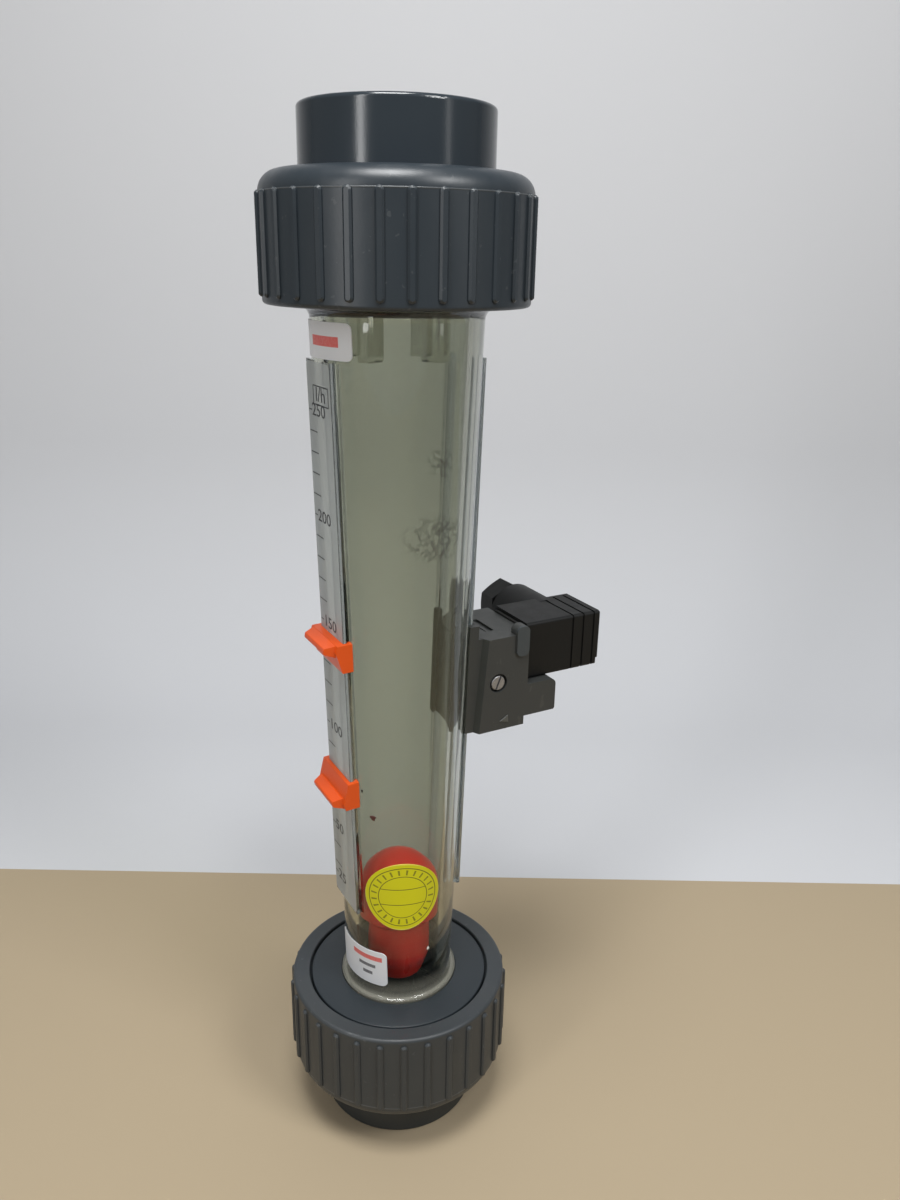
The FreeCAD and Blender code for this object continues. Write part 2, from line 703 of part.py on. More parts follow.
def plug_screw():
    """Fixing screw through the plug into the housing."""
    screw = slotted_screw(FIX_HEAD_R, FIX_HEAD_H, FIX_SCREW_R,
                          PLUG_X1 - FIX_HEAD_H - HOUSING_OUT + FIX_BITE)
    screw.rotate(Vector(0, 0, 0), Vector(0, 0, 1), 90)
    screw.translate(Vector(PLUG_X1 + PLUG_CAP - FIX_HEAD_H - FIX_SUNK, 0, PLUG_Z))
    return screw


def terminal_pins():
    """Flat contact blades between the housing and the plug."""
    return Part.makeCompound(blades(0.0, HOUSING_OUT - PIN_ROOT,
                                    HOUSING_OUT - PIN_ROOT + PIN_LENGTH))


def plug_gasket():
    """Flat gasket behind the plug."""
    x0 = HOUSING_OUT + SEAT
    frame = rectangle(-PLUG_HALF + 0.5, PLUG_HALF - 0.5, PLUG_Z - PLUG_HALF_Z + 0.5,
                      PLUG_Z + PLUG_HALF_Z - 0.9, 1.0)
    window = rectangle(-5.2, 5.2, PLUG_Z - 5.0, PLUG_Z + 4.6, 0.8)
    return prism_x(frame, x0, x0 + GASKET).cut(prism_x(window, x0 - 1, x0 + GASKET + 1))


PLUG_X0 = HOUSING_OUT + GASKET + 2 * SEAT


def plug_housing():
    """Angled plug shell with grip grooves round it and the gland barrel to the rear."""
    low = PLUG_Z - PLUG_HALF_Z
    high = PLUG_Z + PLUG_HALF_Z
    shell = prism_x(rectangle(-PLUG_HALF, PLUG_HALF, low, high, PLUG_EDGE), PLUG_X0, PLUG_X1)
    rims = [e for e in shell.Edges if e.BoundBox.XMin > PLUG_X1 - 0.01]
    shell = shell.makeChamfer(0.5, rims)
    cap = prism_x(rectangle(-PLUG_HALF + 2, PLUG_HALF - 2, low + 3.6, high - 3.0, 0.8),
                  PLUG_X1 - 1, PLUG_X1 + PLUG_CAP)
    core = rectangle(-PLUG_HALF + GRIP_DEPTH, PLUG_HALF + 1, low + GRIP_DEPTH, high - GRIP_DEPTH, 0.5)
    grooves = [block(PLUG_X1 - PLUG_TOE, PLUG_X1 + 1, -PLUG_HALF - 1, PLUG_HALF + 1,
                     low - 1, low + PLUG_TOE_HEIGHT)]
    for i in range(GRIP_GROOVES):
        x0 = PLUG_X1 - GRIP_END - i * GRIP_PITCH - GRIP_WIDTH / 2
        band = block(x0, x0 + GRIP_WIDTH, -PLUG_HALF - 1, PLUG_HALF - GRIP_STOP, low - 1, high + 1)
        grooves.append(band.cut(prism_x(core, x0 - 1, x0 + GRIP_WIDTH + 1)))
    shell = shell.cut(grooves)
    barrel = rod(GLAND_R, Vector(GLAND_X, PLUG_HALF - 3, GLAND_Z), Vector(0, 1, 0),
                 GLAND_Y1 - PLUG_HALF + 3)
    shell = shell.fuse([cap, barrel])
    inside = PLUG_WALL
    cavity = prism_x(rectangle(-PLUG_HALF + inside, PLUG_HALF - inside, low + inside,
                               high - inside, 0.5), PLUG_X0 - 1, PLUG_X1 - inside)
    throat = rod(GLAND_THROAT, Vector(GLAND_X, 0, GLAND_Z), Vector(0, 1, 0), GLAND_Y1)
    bore = rod(GLAND_BORE + SEAT, Vector(GLAND_X, PLUG_HALF + 1.8, GLAND_Z),
               Vector(0, 1, 0), GLAND_Y1)
    hole = rod(FIX_SCREW_R + GAP, Vector(PLUG_X1 - 4, 0, PLUG_Z), Vector(1, 0, 0), 8)
    seat = rod(FIX_HEAD_R + GAP, Vector(PLUG_X1 + PLUG_CAP - FIX_HEAD_H - 0.3 - SEAT, 0,
                                        PLUG_Z), Vector(1, 0, 0), 5)
    return shell.cut([cavity, throat, bore, hole, seat]).removeSplitter()


def plug_insert():
    """Terminal carrier inside the plug, slotted for the blades."""
    x0 = PLUG_X0 + 0.6
    inside = PLUG_WALL + SEAT
    body = prism_x(rectangle(-PLUG_HALF + inside, PLUG_HALF - inside,
                             PLUG_Z - PLUG_HALF_Z + inside, PLUG_Z + PLUG_HALF_Z - inside,
                             0.5), x0, x0 + INSERT_LENGTH)
    hole = rod(FIX_SCREW_R + SEAT, Vector(x0 - 1, 0, PLUG_Z), Vector(1, 0, 0),
               INSERT_LENGTH + 2)
    slots = blades(SEAT, x0 - 1, HOUSING_OUT - PIN_ROOT + PIN_LENGTH + SEAT)
    return body.cut([hole] + slots)


def along_gland(points):
    """Ring turned about the gland axis from (radius, y, corner radius) points."""
    ring = turned(points)
    ring.rotate(Vector(0, 0, 0), Vector(1, 0, 0), -90)
    ring.translate(Vector(GLAND_X, 0, GLAND_Z))
    return ring


def gland_seal():
    """Flat ring between the barrel and the gland nut."""
    return along_gland(rectangle(GLAND_BORE + SEAT, GLAND_SEAL_R, GLAND_Y1 + SEAT,
                                 GLAND_Y1 + GLAND_SEAL - SEAT, 0.3))


def gland_grommet():
    """Rubber sleeve that grips the cable inside the barrel."""
    return along_gland(rectangle(CABLE_R + SEAT, GLAND_BORE, PLUG_HALF + 1.8 + SEAT,
                                 GLAND_Y1 - 3.0 - SEAT, 0.5))


def gland_nut():
    """Hexagon gland nut with a cable hole and a threaded spigot."""
    y0 = GLAND_Y1 + GLAND_SEAL
    y1 = y0 + GLAND_HEX_L
    corner = GLAND_HEX / math.sqrt(3)
    points = []
    for i in range(6):
        angle = math.radians(30 + 60 * i)
        points.append((corner * math.cos(angle), corner * math.sin(angle), 0))
    bar = prism_y(points, y0, y1)
    bar.translate(Vector(GLAND_X, 0, GLAND_Z))
    dome = along_gland([(0, y0 - 1, 0), (corner + 0.05, y0 - 1, 0), (corner + 0.05, y1 - 0.5, 0),
                        (GLAND_HEX / 2 - 0.1, y1, 0), (0, y1, 0)])
    spigot = rod(GLAND_BORE, Vector(GLAND_X, GLAND_Y1 - 3.0, GLAND_Z), Vector(0, 1, 0), 5)
    hole = rod(CABLE_R, Vector(GLAND_X, GLAND_Y1 - 4, GLAND_Z), Vector(0, 1, 0), 20)
    return bar.common(dome).fuse(spigot).cut(hole).removeSplitter()


# ---------------------------------------------------------------- labels
def label_skin(z0, z1):
    """Thin shell that follows the cone between two heights."""
    inner = SEAT / 2
    outer = inner + LABEL_THICK
    return turned([
        (tube_r(z0) + inner, z0, 0),
        (tube_r(z0) + outer, z0, 0),
        (tube_r(z1) + outer, z1, 0),
        (tube_r(z1) + inner, z1, 0),
    ])


def round_sticker():
    """Round adhesive disc wrapped on the tube."""
    reach = tube_r(STICKER_Z) * math.sin(STICKER_R / tube_r(STICKER_Z))
    start = Vector(STICKER_R / 2, 0, STICKER_Z)
    ring = Part.Ellipse(start, STICKER_R, reach).toShape()
    ring.rotate(start, Vector(0, 1, 0), 90)
    punch = Part.Face(Part.Wire([ring])).extrude(Vector(2 * STICKER_R, 0, 0))
    punch.rotate(Vector(0, 0, 0), Vector(0, 0, 1), STICKER_TURN)
    skin = label_skin(STICKER_Z - STICKER_R - 1, STICKER_Z + STICKER_R + 1)
    return skin.common(punch)


def wrapped_label(turn, z0, z1, sweep):
    """Rounded rectangular label wrapped on the tube."""
    half = tube_r((z0 + z1) / 2) * math.sin(math.radians(sweep / 2))
    punch = prism_x(rectangle(-half, half, z0, z1, LABEL_CORNER), half / 2, 3 * half)
    punch.rotate(Vector(0, 0, 0), Vector(0, 0, 1), turn)
    return label_skin(z0 - 1, z1 + 1).common(punch)


# ---------------------------------------------------------------- export
def main():
    """Build every piece and write one STEP file per node."""
    clip = pointer()
    low_end = union_end()
    ring = o_ring()
    pieces = {
        "measuring_tube": measuring_tube(),
        "bottom_threaded_bush": threaded_bush(SPIGOT_R_LOW),
        "top_threaded_bush": flip_end(threaded_bush(SPIGOT_R_HIGH)),
        "bottom_float_stop": bottom_stop(),
        "top_float_stop": top_stop(),
        "bottom_union_end": low_end,
        "top_union_end": flip_end(low_end),
        "bottom_o_ring": ring,
        "top_o_ring": flip_end(ring),
        "bottom_union_nut": union_nut(RIB_TURN_LOW),
        "top_union_nut": flip_end(union_nut(RIB_TURN_HIGH)),
        "float_body": float_body(),
        "float_magnet": float_magnet(),
        "float_plug": float_plug(),
        "lower_pointer": on_rail(clip, -1, LOWER_POINTER_Z),
        "upper_pointer": on_rail(turned_over(clip, POINTER_HEIGHT), -1, UPPER_POINTER_Z),
        "contact_housing": contact_housing(),
        "reed_capsule": reed_capsule(),
        "clamp_screw": clamp_screw(),
        "terminal_pins": terminal_pins(),
        "plug_gasket": plug_gasket(),
        "plug_housing": plug_housing(),
        "plug_insert": plug_insert(),
        "plug_screw": plug_screw(),
        "gland_seal": gland_seal(),
        "gland_grommet": gland_grommet(),
        "gland_nut": gland_nut(),
        "round_sticker": round_sticker(),
        "lower_label": wrapped_label(*LOW_LABEL),
        "top_label": wrapped_label(*TOP_LABEL),
    }
    for node, shape in pieces.items():
        shape.exportStep("parts/" + node + ".step")
        box = shape.BoundBox
        print("%-22s valid %s solids %d X %.2f..%.2f Y %.2f..%.2f Z %.2f..%.2f vol %.0f" % (
            node, shape.isValid(), len(shape.Solids), box.XMin, box.XMax, box.YMin,
            box.YMax, box.ZMin, box.ZMax, shape.Volume))


main()
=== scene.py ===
"""Looks of the rotameter: finishes, printed scale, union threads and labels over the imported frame.

Lengths in the classes are millimetres and turns are degrees. Meshes are written in metres in the
frame of the CAD part: +Z runs up the tube, the scale's rail is at -X, the contact's rail at +X.
"""

import logging
import math
from dataclasses import dataclass
from enum import Enum

import bpy
import numpy as np
from mathutils import Matrix, Vector


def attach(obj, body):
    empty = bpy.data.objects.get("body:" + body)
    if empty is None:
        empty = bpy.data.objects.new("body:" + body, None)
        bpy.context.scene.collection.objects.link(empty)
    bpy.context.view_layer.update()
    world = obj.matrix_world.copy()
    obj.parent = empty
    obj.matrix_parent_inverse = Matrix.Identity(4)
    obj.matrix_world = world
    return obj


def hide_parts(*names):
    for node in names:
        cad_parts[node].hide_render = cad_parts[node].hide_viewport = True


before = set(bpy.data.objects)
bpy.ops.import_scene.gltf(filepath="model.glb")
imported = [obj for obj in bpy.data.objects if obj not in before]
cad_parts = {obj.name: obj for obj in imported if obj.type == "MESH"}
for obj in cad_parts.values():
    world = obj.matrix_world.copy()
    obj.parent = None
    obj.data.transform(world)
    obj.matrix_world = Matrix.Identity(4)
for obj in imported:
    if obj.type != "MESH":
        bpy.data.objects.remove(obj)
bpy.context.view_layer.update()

MM = 0.001
PER_METRE = 1000.0
FULL_TURN = 2 * math.pi
CLOUD_SIZE = 14.0
Colour = tuple[float, float, float]
Point = tuple[float, float, float]
log = logging.getLogger("rotameter")


# ---------------------------------------------------------------- shader maths
class Value:
    """A shader socket on which Python arithmetic adds Math nodes."""

    def __init__(self, graph: "Graph", socket: bpy.types.NodeSocket) -> None:
        """Keeps the graph that the socket belongs to."""
        self.graph = graph
        self.socket = socket

    def calc(self, operation: str, *others: "Value | float") -> "Value":
        """Adds one Math node whose first input is self.

        Args:
            operation: Name of the Math node's operation.
            others: Values of its further inputs, in order.

        Returns:
            The node's output.
        """
        return self.graph.maths(operation, self, *others)

    def __add__(self, other: "Value | float") -> "Value":
        """Returns self + other."""
        return self.calc("ADD", other)

    __radd__ = __add__

    def __sub__(self, other: "Value | float") -> "Value":
        """Returns self - other."""
        return self.calc("SUBTRACT", other)

    def __rsub__(self, other: float) -> "Value":
        """Returns other - self."""
        return self.graph.maths("SUBTRACT", other, self)

    def __mul__(self, other: "Value | float") -> "Value":
        """Returns self * other."""
        return self.calc("MULTIPLY", other)

    __rmul__ = __mul__

    def __truediv__(self, other: "Value | float") -> "Value":
        """Returns self / other."""
        return self.calc("DIVIDE", other)

    def __rtruediv__(self, other: float) -> "Value":
        """Returns other / self."""
        return self.graph.maths("DIVIDE", other, self)

    def __lt__(self, other: "Value | float") -> "Value":
        """Returns 1 where self is below other, else 0."""
        return self.calc("LESS_THAN", other)

    def __gt__(self, other: "Value | float") -> "Value":
        """Returns 1 where self is above other, else 0."""
        return self.calc("GREATER_THAN", other)

    def __abs__(self) -> "Value":
        """Returns the distance of self from zero."""
        return self.calc("ABSOLUTE")

    def near(self, centre: float, width: float) -> "Value":
        """Adds a soft bump that is 1 up to half its width from the centre.

        Args:
            centre: Value of self at the middle of the bump.
            width: Distance from the centre at which the bump has faded to 0.

        Returns:
            The bump, from 0 to 1.
        """
        return self.graph.node("ShaderNodeMapRange", {0: abs(self - centre), 1: width,
                                                      2: width * 0.5, 3: 0.0, 4: 1.0})


class Graph:
    """The node tree of one material."""

    def __init__(self, name: str) -> None:
        """Makes an empty material with an output."""
        self.material = bpy.data.materials.new(name)
        self.material.use_nodes = True
        self.tree = self.material.node_tree
        self.tree.nodes.clear()
        self.output = self.tree.nodes.new("ShaderNodeOutputMaterial")

    def node(self, kind: str, values: dict[int | str, object],
             settings: dict[str, object] | None = None, output: int | str = 0) -> Value:
        """Adds any node.

        Args:
            kind: Type name of the node.
            values: Number, colour or Value of each input, by index or name.
            settings: Attributes that are set before the inputs; "stops" fills a colour ramp.
            output: Index or name of the wanted output.

        Returns:
            That output.
        """
        made = self.tree.nodes.new(kind)
        for key, setting in (settings or {}).items():
            if key == "stops":
                stops = self.ramp_elements(made, len(setting))
                for element, (place, colour) in zip(stops, setting):
                    element.position = place
                    element.color = (*colour, 1.0)
            else:
                setattr(made, key, setting)
        for key, value in values.items():
            socket = made.inputs[key]
            if isinstance(value, Value):
                self.tree.links.new(value.socket, socket)
            elif isinstance(value, tuple) and socket.type == "RGBA":
                socket.default_value = (*value, 1.0)
            else:
                socket.default_value = value
        return Value(self, made.outputs[output])

    @staticmethod
    def ramp_elements(ramp: bpy.types.Node, count: int) -> list[bpy.types.ColorRampElement]:
        """Returns the stops of a colour ramp, with as many as count."""
        while len(ramp.color_ramp.elements) < count:
            ramp.color_ramp.elements.new(1.0)
        return list(ramp.color_ramp.elements)

    def maths(self, operation: str, *terms: Value | float) -> Value:
        """Adds one Math node.

        Args:
            operation: Name of the Math node's operation.
            terms: Values of its inputs, in order.

        Returns:
            The node's output.
        """
        return self.node("ShaderNodeMath", dict(enumerate(terms)), {"operation": operation})

    def place(self) -> Value:
        """Returns the Object coordinates, in metres."""
        return self.node("ShaderNodeTexCoord", {}, output="Object")

    def axis(self, name: str) -> Value:
        """Returns one Object coordinate in millimetres."""
        split = self.node("ShaderNodeSeparateXYZ", {0: self.place()}, output=name)
        return split * PER_METRE

    def turned(self, turn: float) -> tuple[Value, Value]:
        """Measures from the axis towards a turn.

        Args:
            turn: Direction in degrees from +X, anticlockwise seen from above.

        Returns:
            The distance out in that direction, and the distance sideways from it.
        """
        angle = math.radians(turn)
        x, y = self.axis("X"), self.axis("Y")
        out = x * math.cos(angle) + y * math.sin(angle)
        side = y * math.cos(angle) - x * math.sin(angle)
        return out, side

    def arc(self, turn: float, radius: float) -> Value:
        """Returns the arc length from a turn in degrees, at a radius in millimetres."""
        out, side = self.turned(turn)
        return side.calc("ARCTAN2", out) * radius

    def noise(self, size: float, detail: float = 2.0, upright: float = 1.0) -> Value:
        """Adds a noise pattern.

        Args:
            size: About how large its features are, in millimetres.
            detail: Number of finer layers.
            upright: Scale of the pattern along Z; below 1 it draws features out to streaks.

        Returns:
            The noise, from 0 to 1.
        """
        where = self.node("ShaderNodeMapping", {"Vector": self.place(),
                                                "Scale": (1.0, 1.0, upright)})
        return self.node("ShaderNodeTexNoise", {"Vector": where, "Scale": PER_METRE / size,
                                                "Detail": detail})

    def mix(self, factor: Value | float, first: Value | Colour, second: Value | Colour) -> Value:
        """Returns a colour between first and second."""
        return self.node("ShaderNodeMix", {0: factor, 6: first, 7: second},
                         {"data_type": "RGBA"}, output=2)

    def bump(self, height: Value, depth: float) -> Value:
        """Returns a normal for a height map whose full range is depth millimetres."""
        return self.node("ShaderNodeBump", {"Height": height, "Distance": depth * MM})

    def grain(self, depth: float) -> Value:
        """Returns the normal of a moulded face: fine grain on slow waves, to a depth."""
        return self.bump(self.noise(0.35, 3.0) * 0.7 + self.noise(5.0), depth)

    def rubbed(self, roughness: float, span: float = 0.16) -> Value:
        """Returns a roughness that varies over a span in upright streaks."""
        return self.noise(3.0, 3.0, 0.15) * span + (roughness - span / 2)

    def surface(self, **sockets: object) -> Value:
        """Adds a Principled shader; an underscore in a name stands for a space."""
        return self.node("ShaderNodeBsdfPrincipled",
                         {key.replace("_", " "): value for key, value in sockets.items()})

    def blend(self, factor: Value, first: Value, second: Value) -> Value:
        """Returns a shader between first and second."""
        return self.node("ShaderNodeMixShader", {0: factor, 1: first, 2: second})

    def clear(self, tint: Value | Colour, ior: float) -> Value:
        """Returns the shader of clear plastic, slightly wavy and hazy along its length."""
        return self.surface(Base_Color=tint, IOR=ior, Transmission_Weight=1.0, Coat_Weight=0.7,
                            Roughness=self.noise(5.0, 4.0, 0.3) * 0.05 + 0.02,
                            Normal=self.bump(self.noise(9.0, 2.0, 0.35), 0.02))

    def light_through(self, body: Value, shade: Colour) -> Value:
        """Returns the body with shadow rays let through it, dimmed to the shade."""
        shadow = self.node("ShaderNodeLightPath", {}, output="Is Shadow Ray")
        return self.blend(shadow, body, self.node("ShaderNodeBsdfTransparent", {0: shade}))

    def finish(self, shader: Value) -> bpy.types.Material:
        """Links the shader to the output and returns the material."""
        self.tree.links.new(shader.socket, self.output.inputs[0])
        return self.material


# ---------------------------------------------------------------- finishes
@dataclass(frozen=True)
class MouldedPlastic:
    """Injection-moulded plastic with a fine grain, a cloudy colour and rubbed streaks."""

    name: str
    colour: Colour
    dust: Colour
    roughness: float = 0.35
    grain: float = 0.02
    cloud: float = 0.25
    gloss: float = 0.5

    def make(self) -> bpy.types.Material:
        """Returns the material."""
        g = Graph(self.name)
        colour = g.mix(g.noise(CLOUD_SIZE, 4.0) * self.cloud, self.colour, self.dust)
        return g.finish(g.surface(Base_Color=colour, Roughness=g.rubbed(self.roughness),
                                  Normal=g.grain(self.grain), Specular_IOR_Level=self.gloss))


@dataclass(frozen=True)
class HousingPlastic:
    """Grey moulded plastic of the contact, scuffed, with a bluer latch at one front corner."""

    name: str
    colour: Colour
    dust: Colour
    latch_colour: Colour
    front: float
    latch_x: float
    latch_z: float
    roughness: float = 0.5
    grain: float = 0.03
    cloud: float = 0.5
    latch_cover: float = 0.8
    scuff_colour: Colour = (0.09, 0.09, 0.08)
    scuff_size: float = 2.2
    scuff_from: float = 0.66
    scuff_cover: float = 0.25
    front_gap: float = 0.05

    def make(self) -> bpy.types.Material:
        """Returns the material: the latch is what stands out of the front beyond its corner."""
        g = Graph(self.name)
        proud = g.axis("Y") < self.front - self.front_gap
        latch = proud * (g.axis("X") > self.latch_x) * (g.axis("Z") > self.latch_z)
        scuff = g.noise(self.scuff_size, 4.0, 0.5) > self.scuff_from
        colour = g.mix(g.noise(CLOUD_SIZE, 4.0) * self.cloud, self.colour, self.dust)
        colour = g.mix(scuff * self.scuff_cover, colour, self.scuff_colour)
        colour = g.mix(latch * self.latch_cover, colour, self.latch_colour)
        return g.finish(g.surface(Base_Color=colour, Roughness=g.rubbed(self.roughness),
                                  Normal=g.grain(self.grain)))


@dataclass(frozen=True)
class NutPlastic:
    """Grey union plastic with the thin parting line that the mould left near one rib end."""

    name: str
    colour: Colour
    dust: Colour
    roughness: float
    line_height: float
    line_width: float = 0.16
    pale: Colour = (0.2, 0.21, 0.21)
    cloud_size: float = 16.0
    cloud: float = 0.5
    speck_size: float = 1.6
    speck_from: float = 0.71
    speck_share: float = 0.12
    line_share: float = 0.25
    relief: float = 0.035

    def make(self) -> bpy.types.Material:
        """Returns the material."""
        g = Graph(self.name)
        line = g.axis("Z").near(self.line_height, self.line_width)
        speck = g.noise(self.speck_size, 2.0) > self.speck_from
        colour = g.mix(g.noise(self.cloud_size, 4.0) * self.cloud, self.colour, self.dust)
        colour = g.mix(speck * self.speck_share + line * self.line_share, colour, self.pale)
        rough = g.noise(4.0, 3.0, 0.2) * 0.2 + (self.roughness - 0.1)
        height = g.noise(0.5, 2.0) * 0.25 + g.noise(6.0) + line * 1.6
        return g.finish(g.surface(Base_Color=colour, Roughness=rough,
                                  Normal=g.bump(height, self.relief)))


@dataclass(frozen=True)
class ClearPlastic:
    """Clear plastic that lets light through to what it encloses."""

    name: str
    tint: Colour
    shade: Colour
    ior: float = 1.5

    def make(self) -> bpy.types.Material:
        """Returns the material."""
        g = Graph(self.name)
        return g.finish(g.light_through(g.clear(self.tint, self.ior), self.shade))


@dataclass(frozen=True)
class Smudge:
    """Oval patch of streaks rubbed on the tube: its turn, height and half sizes."""

    turn: float
    height: float
    half_arc: float
    half_height: float


@dataclass(frozen=True)
class TubePlastic:
    """Smoky clear plastic of the tube.

    It has painted shade along the rail edges, faint smudges, a painted highlight on the foot ring
    and skirt, and a thin blue-grey painted shade on the contact's side.

    The masks come from the place on the tube: the distance across a rail, how far a point stands
    out of the cone, and the distance from a smudge's middle in shares of its half sizes.
    """

    name: str
    tint: Colour
    shade: Colour
    ior: float
    base_radius: float
    taper: float
    rail_half: float
    foot_top: float
    skirt_height: float
    smudges: tuple[Smudge, ...]
    rail_tint: Colour = (0.36, 0.39, 0.40)
    # Colour of the painted shade along both rail edges.
    edge_tint: Colour = (0.17, 0.19, 0.2)
    smudge_tint: Colour = (0.1, 0.1, 0.09)
    # Colour of the painted highlight on the foot ring and skirt.
    frost_colour: Colour = (0.55, 0.54, 0.45)
    # Colour of the painted shade on the contact's side of the tube.
    veil_colour: Colour = (0.40, 0.46, 0.52)
    rail_proud: float = 0.35
    edge_reach: float = 0.75
    edge_from: float = 14.0
    ring_proud: float = 0.55
    ring_reach: float = 0.5
    ring_share: float = 0.14
    skirt_proud: float = -0.6
    skirt_reach: float = 6.5
    skirt_share: float = 0.2
    veil_middle: float = 21.0
    veil_reach: float = 15.0
    veil_share: float = 0.13

    def smudge(self, g: Graph) -> Value:
        """Returns the strength of all smudges, from 0 to 1."""
        height = g.axis("Z")
        streaks = g.noise(2.2, 2.0, 0.7).near(0.5, 0.07)
        total = streaks * 0.0
        for patch in self.smudges:
            out, side = g.turned(patch.turn)
            side = side / patch.half_arc
            rise = (height - patch.height) / patch.half_height
            total = total + (side * side + rise * rise).near(0.0, 1.0) * (out > 0.0) * streaks
        return total

    def make(self) -> bpy.types.Material:
        """Returns the material."""
        g = Graph(self.name)
        x, y, z = g.axis("X"), g.axis("Y"), g.axis("Z")
        proud = (x * x + y * y).calc("SQRT") - z * self.taper - self.base_radius
        above = z > self.foot_top
        # Painted shade: both rail edges are tinted darker, where the rails' side walls lie in shade.
        edge = abs(y).near(self.rail_half, self.edge_reach) * (abs(x) > self.edge_from)
        tint = g.mix((proud > self.rail_proud) * above, self.tint, self.rail_tint)
        tint = g.mix(edge * 0.7, tint, self.edge_tint)
        tint = g.mix(self.smudge(g) * 0.5, tint, self.smudge_tint)
        # Painted highlight: a pale mix on the foot ring and low on the skirt, where light gathers at
        # the tube's foot.
        ring = proud.near(self.ring_proud, self.ring_reach) * (z < self.foot_top)
        skirt_highlight = z.near(self.skirt_height, self.skirt_reach) * (proud > self.skirt_proud)
        # Painted shade: a thin blue-grey film over the contact's side, where the contact rail's side
        # lies in shade.
        side_shade = x.near(self.veil_middle, self.veil_reach) * above
        # Surface of the painted light: pale for the foot's painted highlight, blue-grey for the
        # painted shade on the contact's side.
        painted_light = g.surface(Base_Color=g.mix(side_shade, self.frost_colour, self.veil_colour),
                          Roughness=0.25)
        # How much painted highlight and painted shade is mixed into the clear plastic at each place.
        cover = ring * self.ring_share + skirt_highlight * self.skirt_share + side_shade * self.veil_share
        body = g.blend(cover, g.clear(tint, self.ior), painted_light)
        return g.finish(g.light_through(body, self.shade))


@dataclass(frozen=True)
class MilkyFilm:
    """Thin milky film that carries the printed scale."""

    name: str
    colour: Colour
    cover: float
    span: float = 0.15
    dip: float = 0.07

    def make(self) -> bpy.types.Material:
        """Returns the material: its cover starts a dip below the mean and varies by the span."""
        g = Graph(self.name)
        milk = g.surface(Base_Color=self.colour, Roughness=0.35)
        clear = g.node("ShaderNodeBsdfTransparent", {0: (1.0, 1.0, 1.0)})
        cover = g.noise(8.0, 3.0, 0.3) * self.span + (self.cover - self.dip)
        return g.finish(g.blend(cover, clear, milk))


@dataclass(frozen=True)
class RubbedMetal:
    """Plated or plain metal with fine upright scratches that darken it."""

    name: str
    colour: Colour
    roughness: float
    worn: float = 0.7

    def make(self) -> bpy.types.Material:
        """Returns the material."""
        g = Graph(self.name)
        scratch = g.noise(0.4, 4.0, 0.2)
        dark = tuple(self.worn * part for part in self.colour)
        return g.finish(g.surface(Base_Color=g.mix(scratch, self.colour, dark), Metallic=1.0,
                                  Roughness=scratch * 0.2 + self.roughness,
                                  Normal=g.bump(scratch, 0.01)))


@dataclass(frozen=True)
class PlainInk:
    """Thin dark print, faded in places."""

    name: str
    colour: Colour
    faded: Colour = (0.09, 0.09, 0.09)

    def make(self) -> bpy.types.Material:
        """Returns the material."""
        g = Graph(self.name)
        colour = g.mix(g.noise(0.8, 3.0) * 0.4, self.colour, self.faded)
        return g.finish(g.surface(Base_Color=colour, Roughness=0.6))


@dataclass(frozen=True)
class RoundSticker:
    """Yellow film with two printed rings, short marks between them and an empty field across."""

    name: str
    turn: float
    height: float
    tube_radius: float
    radius: float
    outer_ring: float = 0.87
    inner_ring: float = 0.62
    marks: int = 24
    field_half: float = 2.3
    line: float = 0.14
    outer_line: float = 0.16
    mark_share: float = 0.12
    mark_half: float = 0.75
    rim_from: float = 0.975
    film: Colour = (0.62, 0.60, 0.002)
    film_worn: Colour = (0.52, 0.50, 0.004)
    rim: Colour = (0.75, 0.72, 0.2)
    ink: Colour = (0.03, 0.035, 0.01)

    def make(self) -> bpy.types.Material:
        """Returns the material: rings and field are drawn in arc length and height."""
        g = Graph(self.name)
        arc = g.arc(self.turn, self.tube_radius)
        rise = g.axis("Z") - self.height
        reach = (arc * arc + rise * rise).calc("SQRT")
        inner, outer = self.radius * self.inner_ring, self.radius * self.outer_ring
        ring = reach.near(outer, self.outer_line) + reach.near(inner, self.line)
        share = (rise.calc("ARCTAN2", arc) * (self.marks / FULL_TURN)).calc("FRACT")
        between = abs(reach - (inner + outer) / 2) < self.mark_half
        mark = (abs(share - 0.5) < self.mark_share) * between
        field = abs(rise).near(self.field_half, self.line) * (reach < inner)
        ink = (ring + mark * 0.8 + field).calc("MINIMUM", 1.0)
        film = g.mix(g.noise(7.0, 3.0) * 0.5, self.film, self.film_worn)
        film = g.mix((reach > self.radius * self.rim_from) * 0.5, film, self.rim)
        return g.finish(g.surface(Base_Color=g.mix(ink * 0.85, film, self.ink), Roughness=0.42,
                                  Normal=g.bump(g.noise(2.0), 0.015)))


class Mark(Enum):
    """Kinds of plain bar that stand for lines of print on a white label, by colour."""

    HEADING = (0.66, 0.045, 0.025)
    LINE = (0.06, 0.06, 0.07)


@dataclass(frozen=True)
class Bar:
    """One plain bar: its kind, where its middle is in arc length and height, and half sizes."""

    mark: Mark
    arc: float
    height: float
    half_width: float
    half_height: float


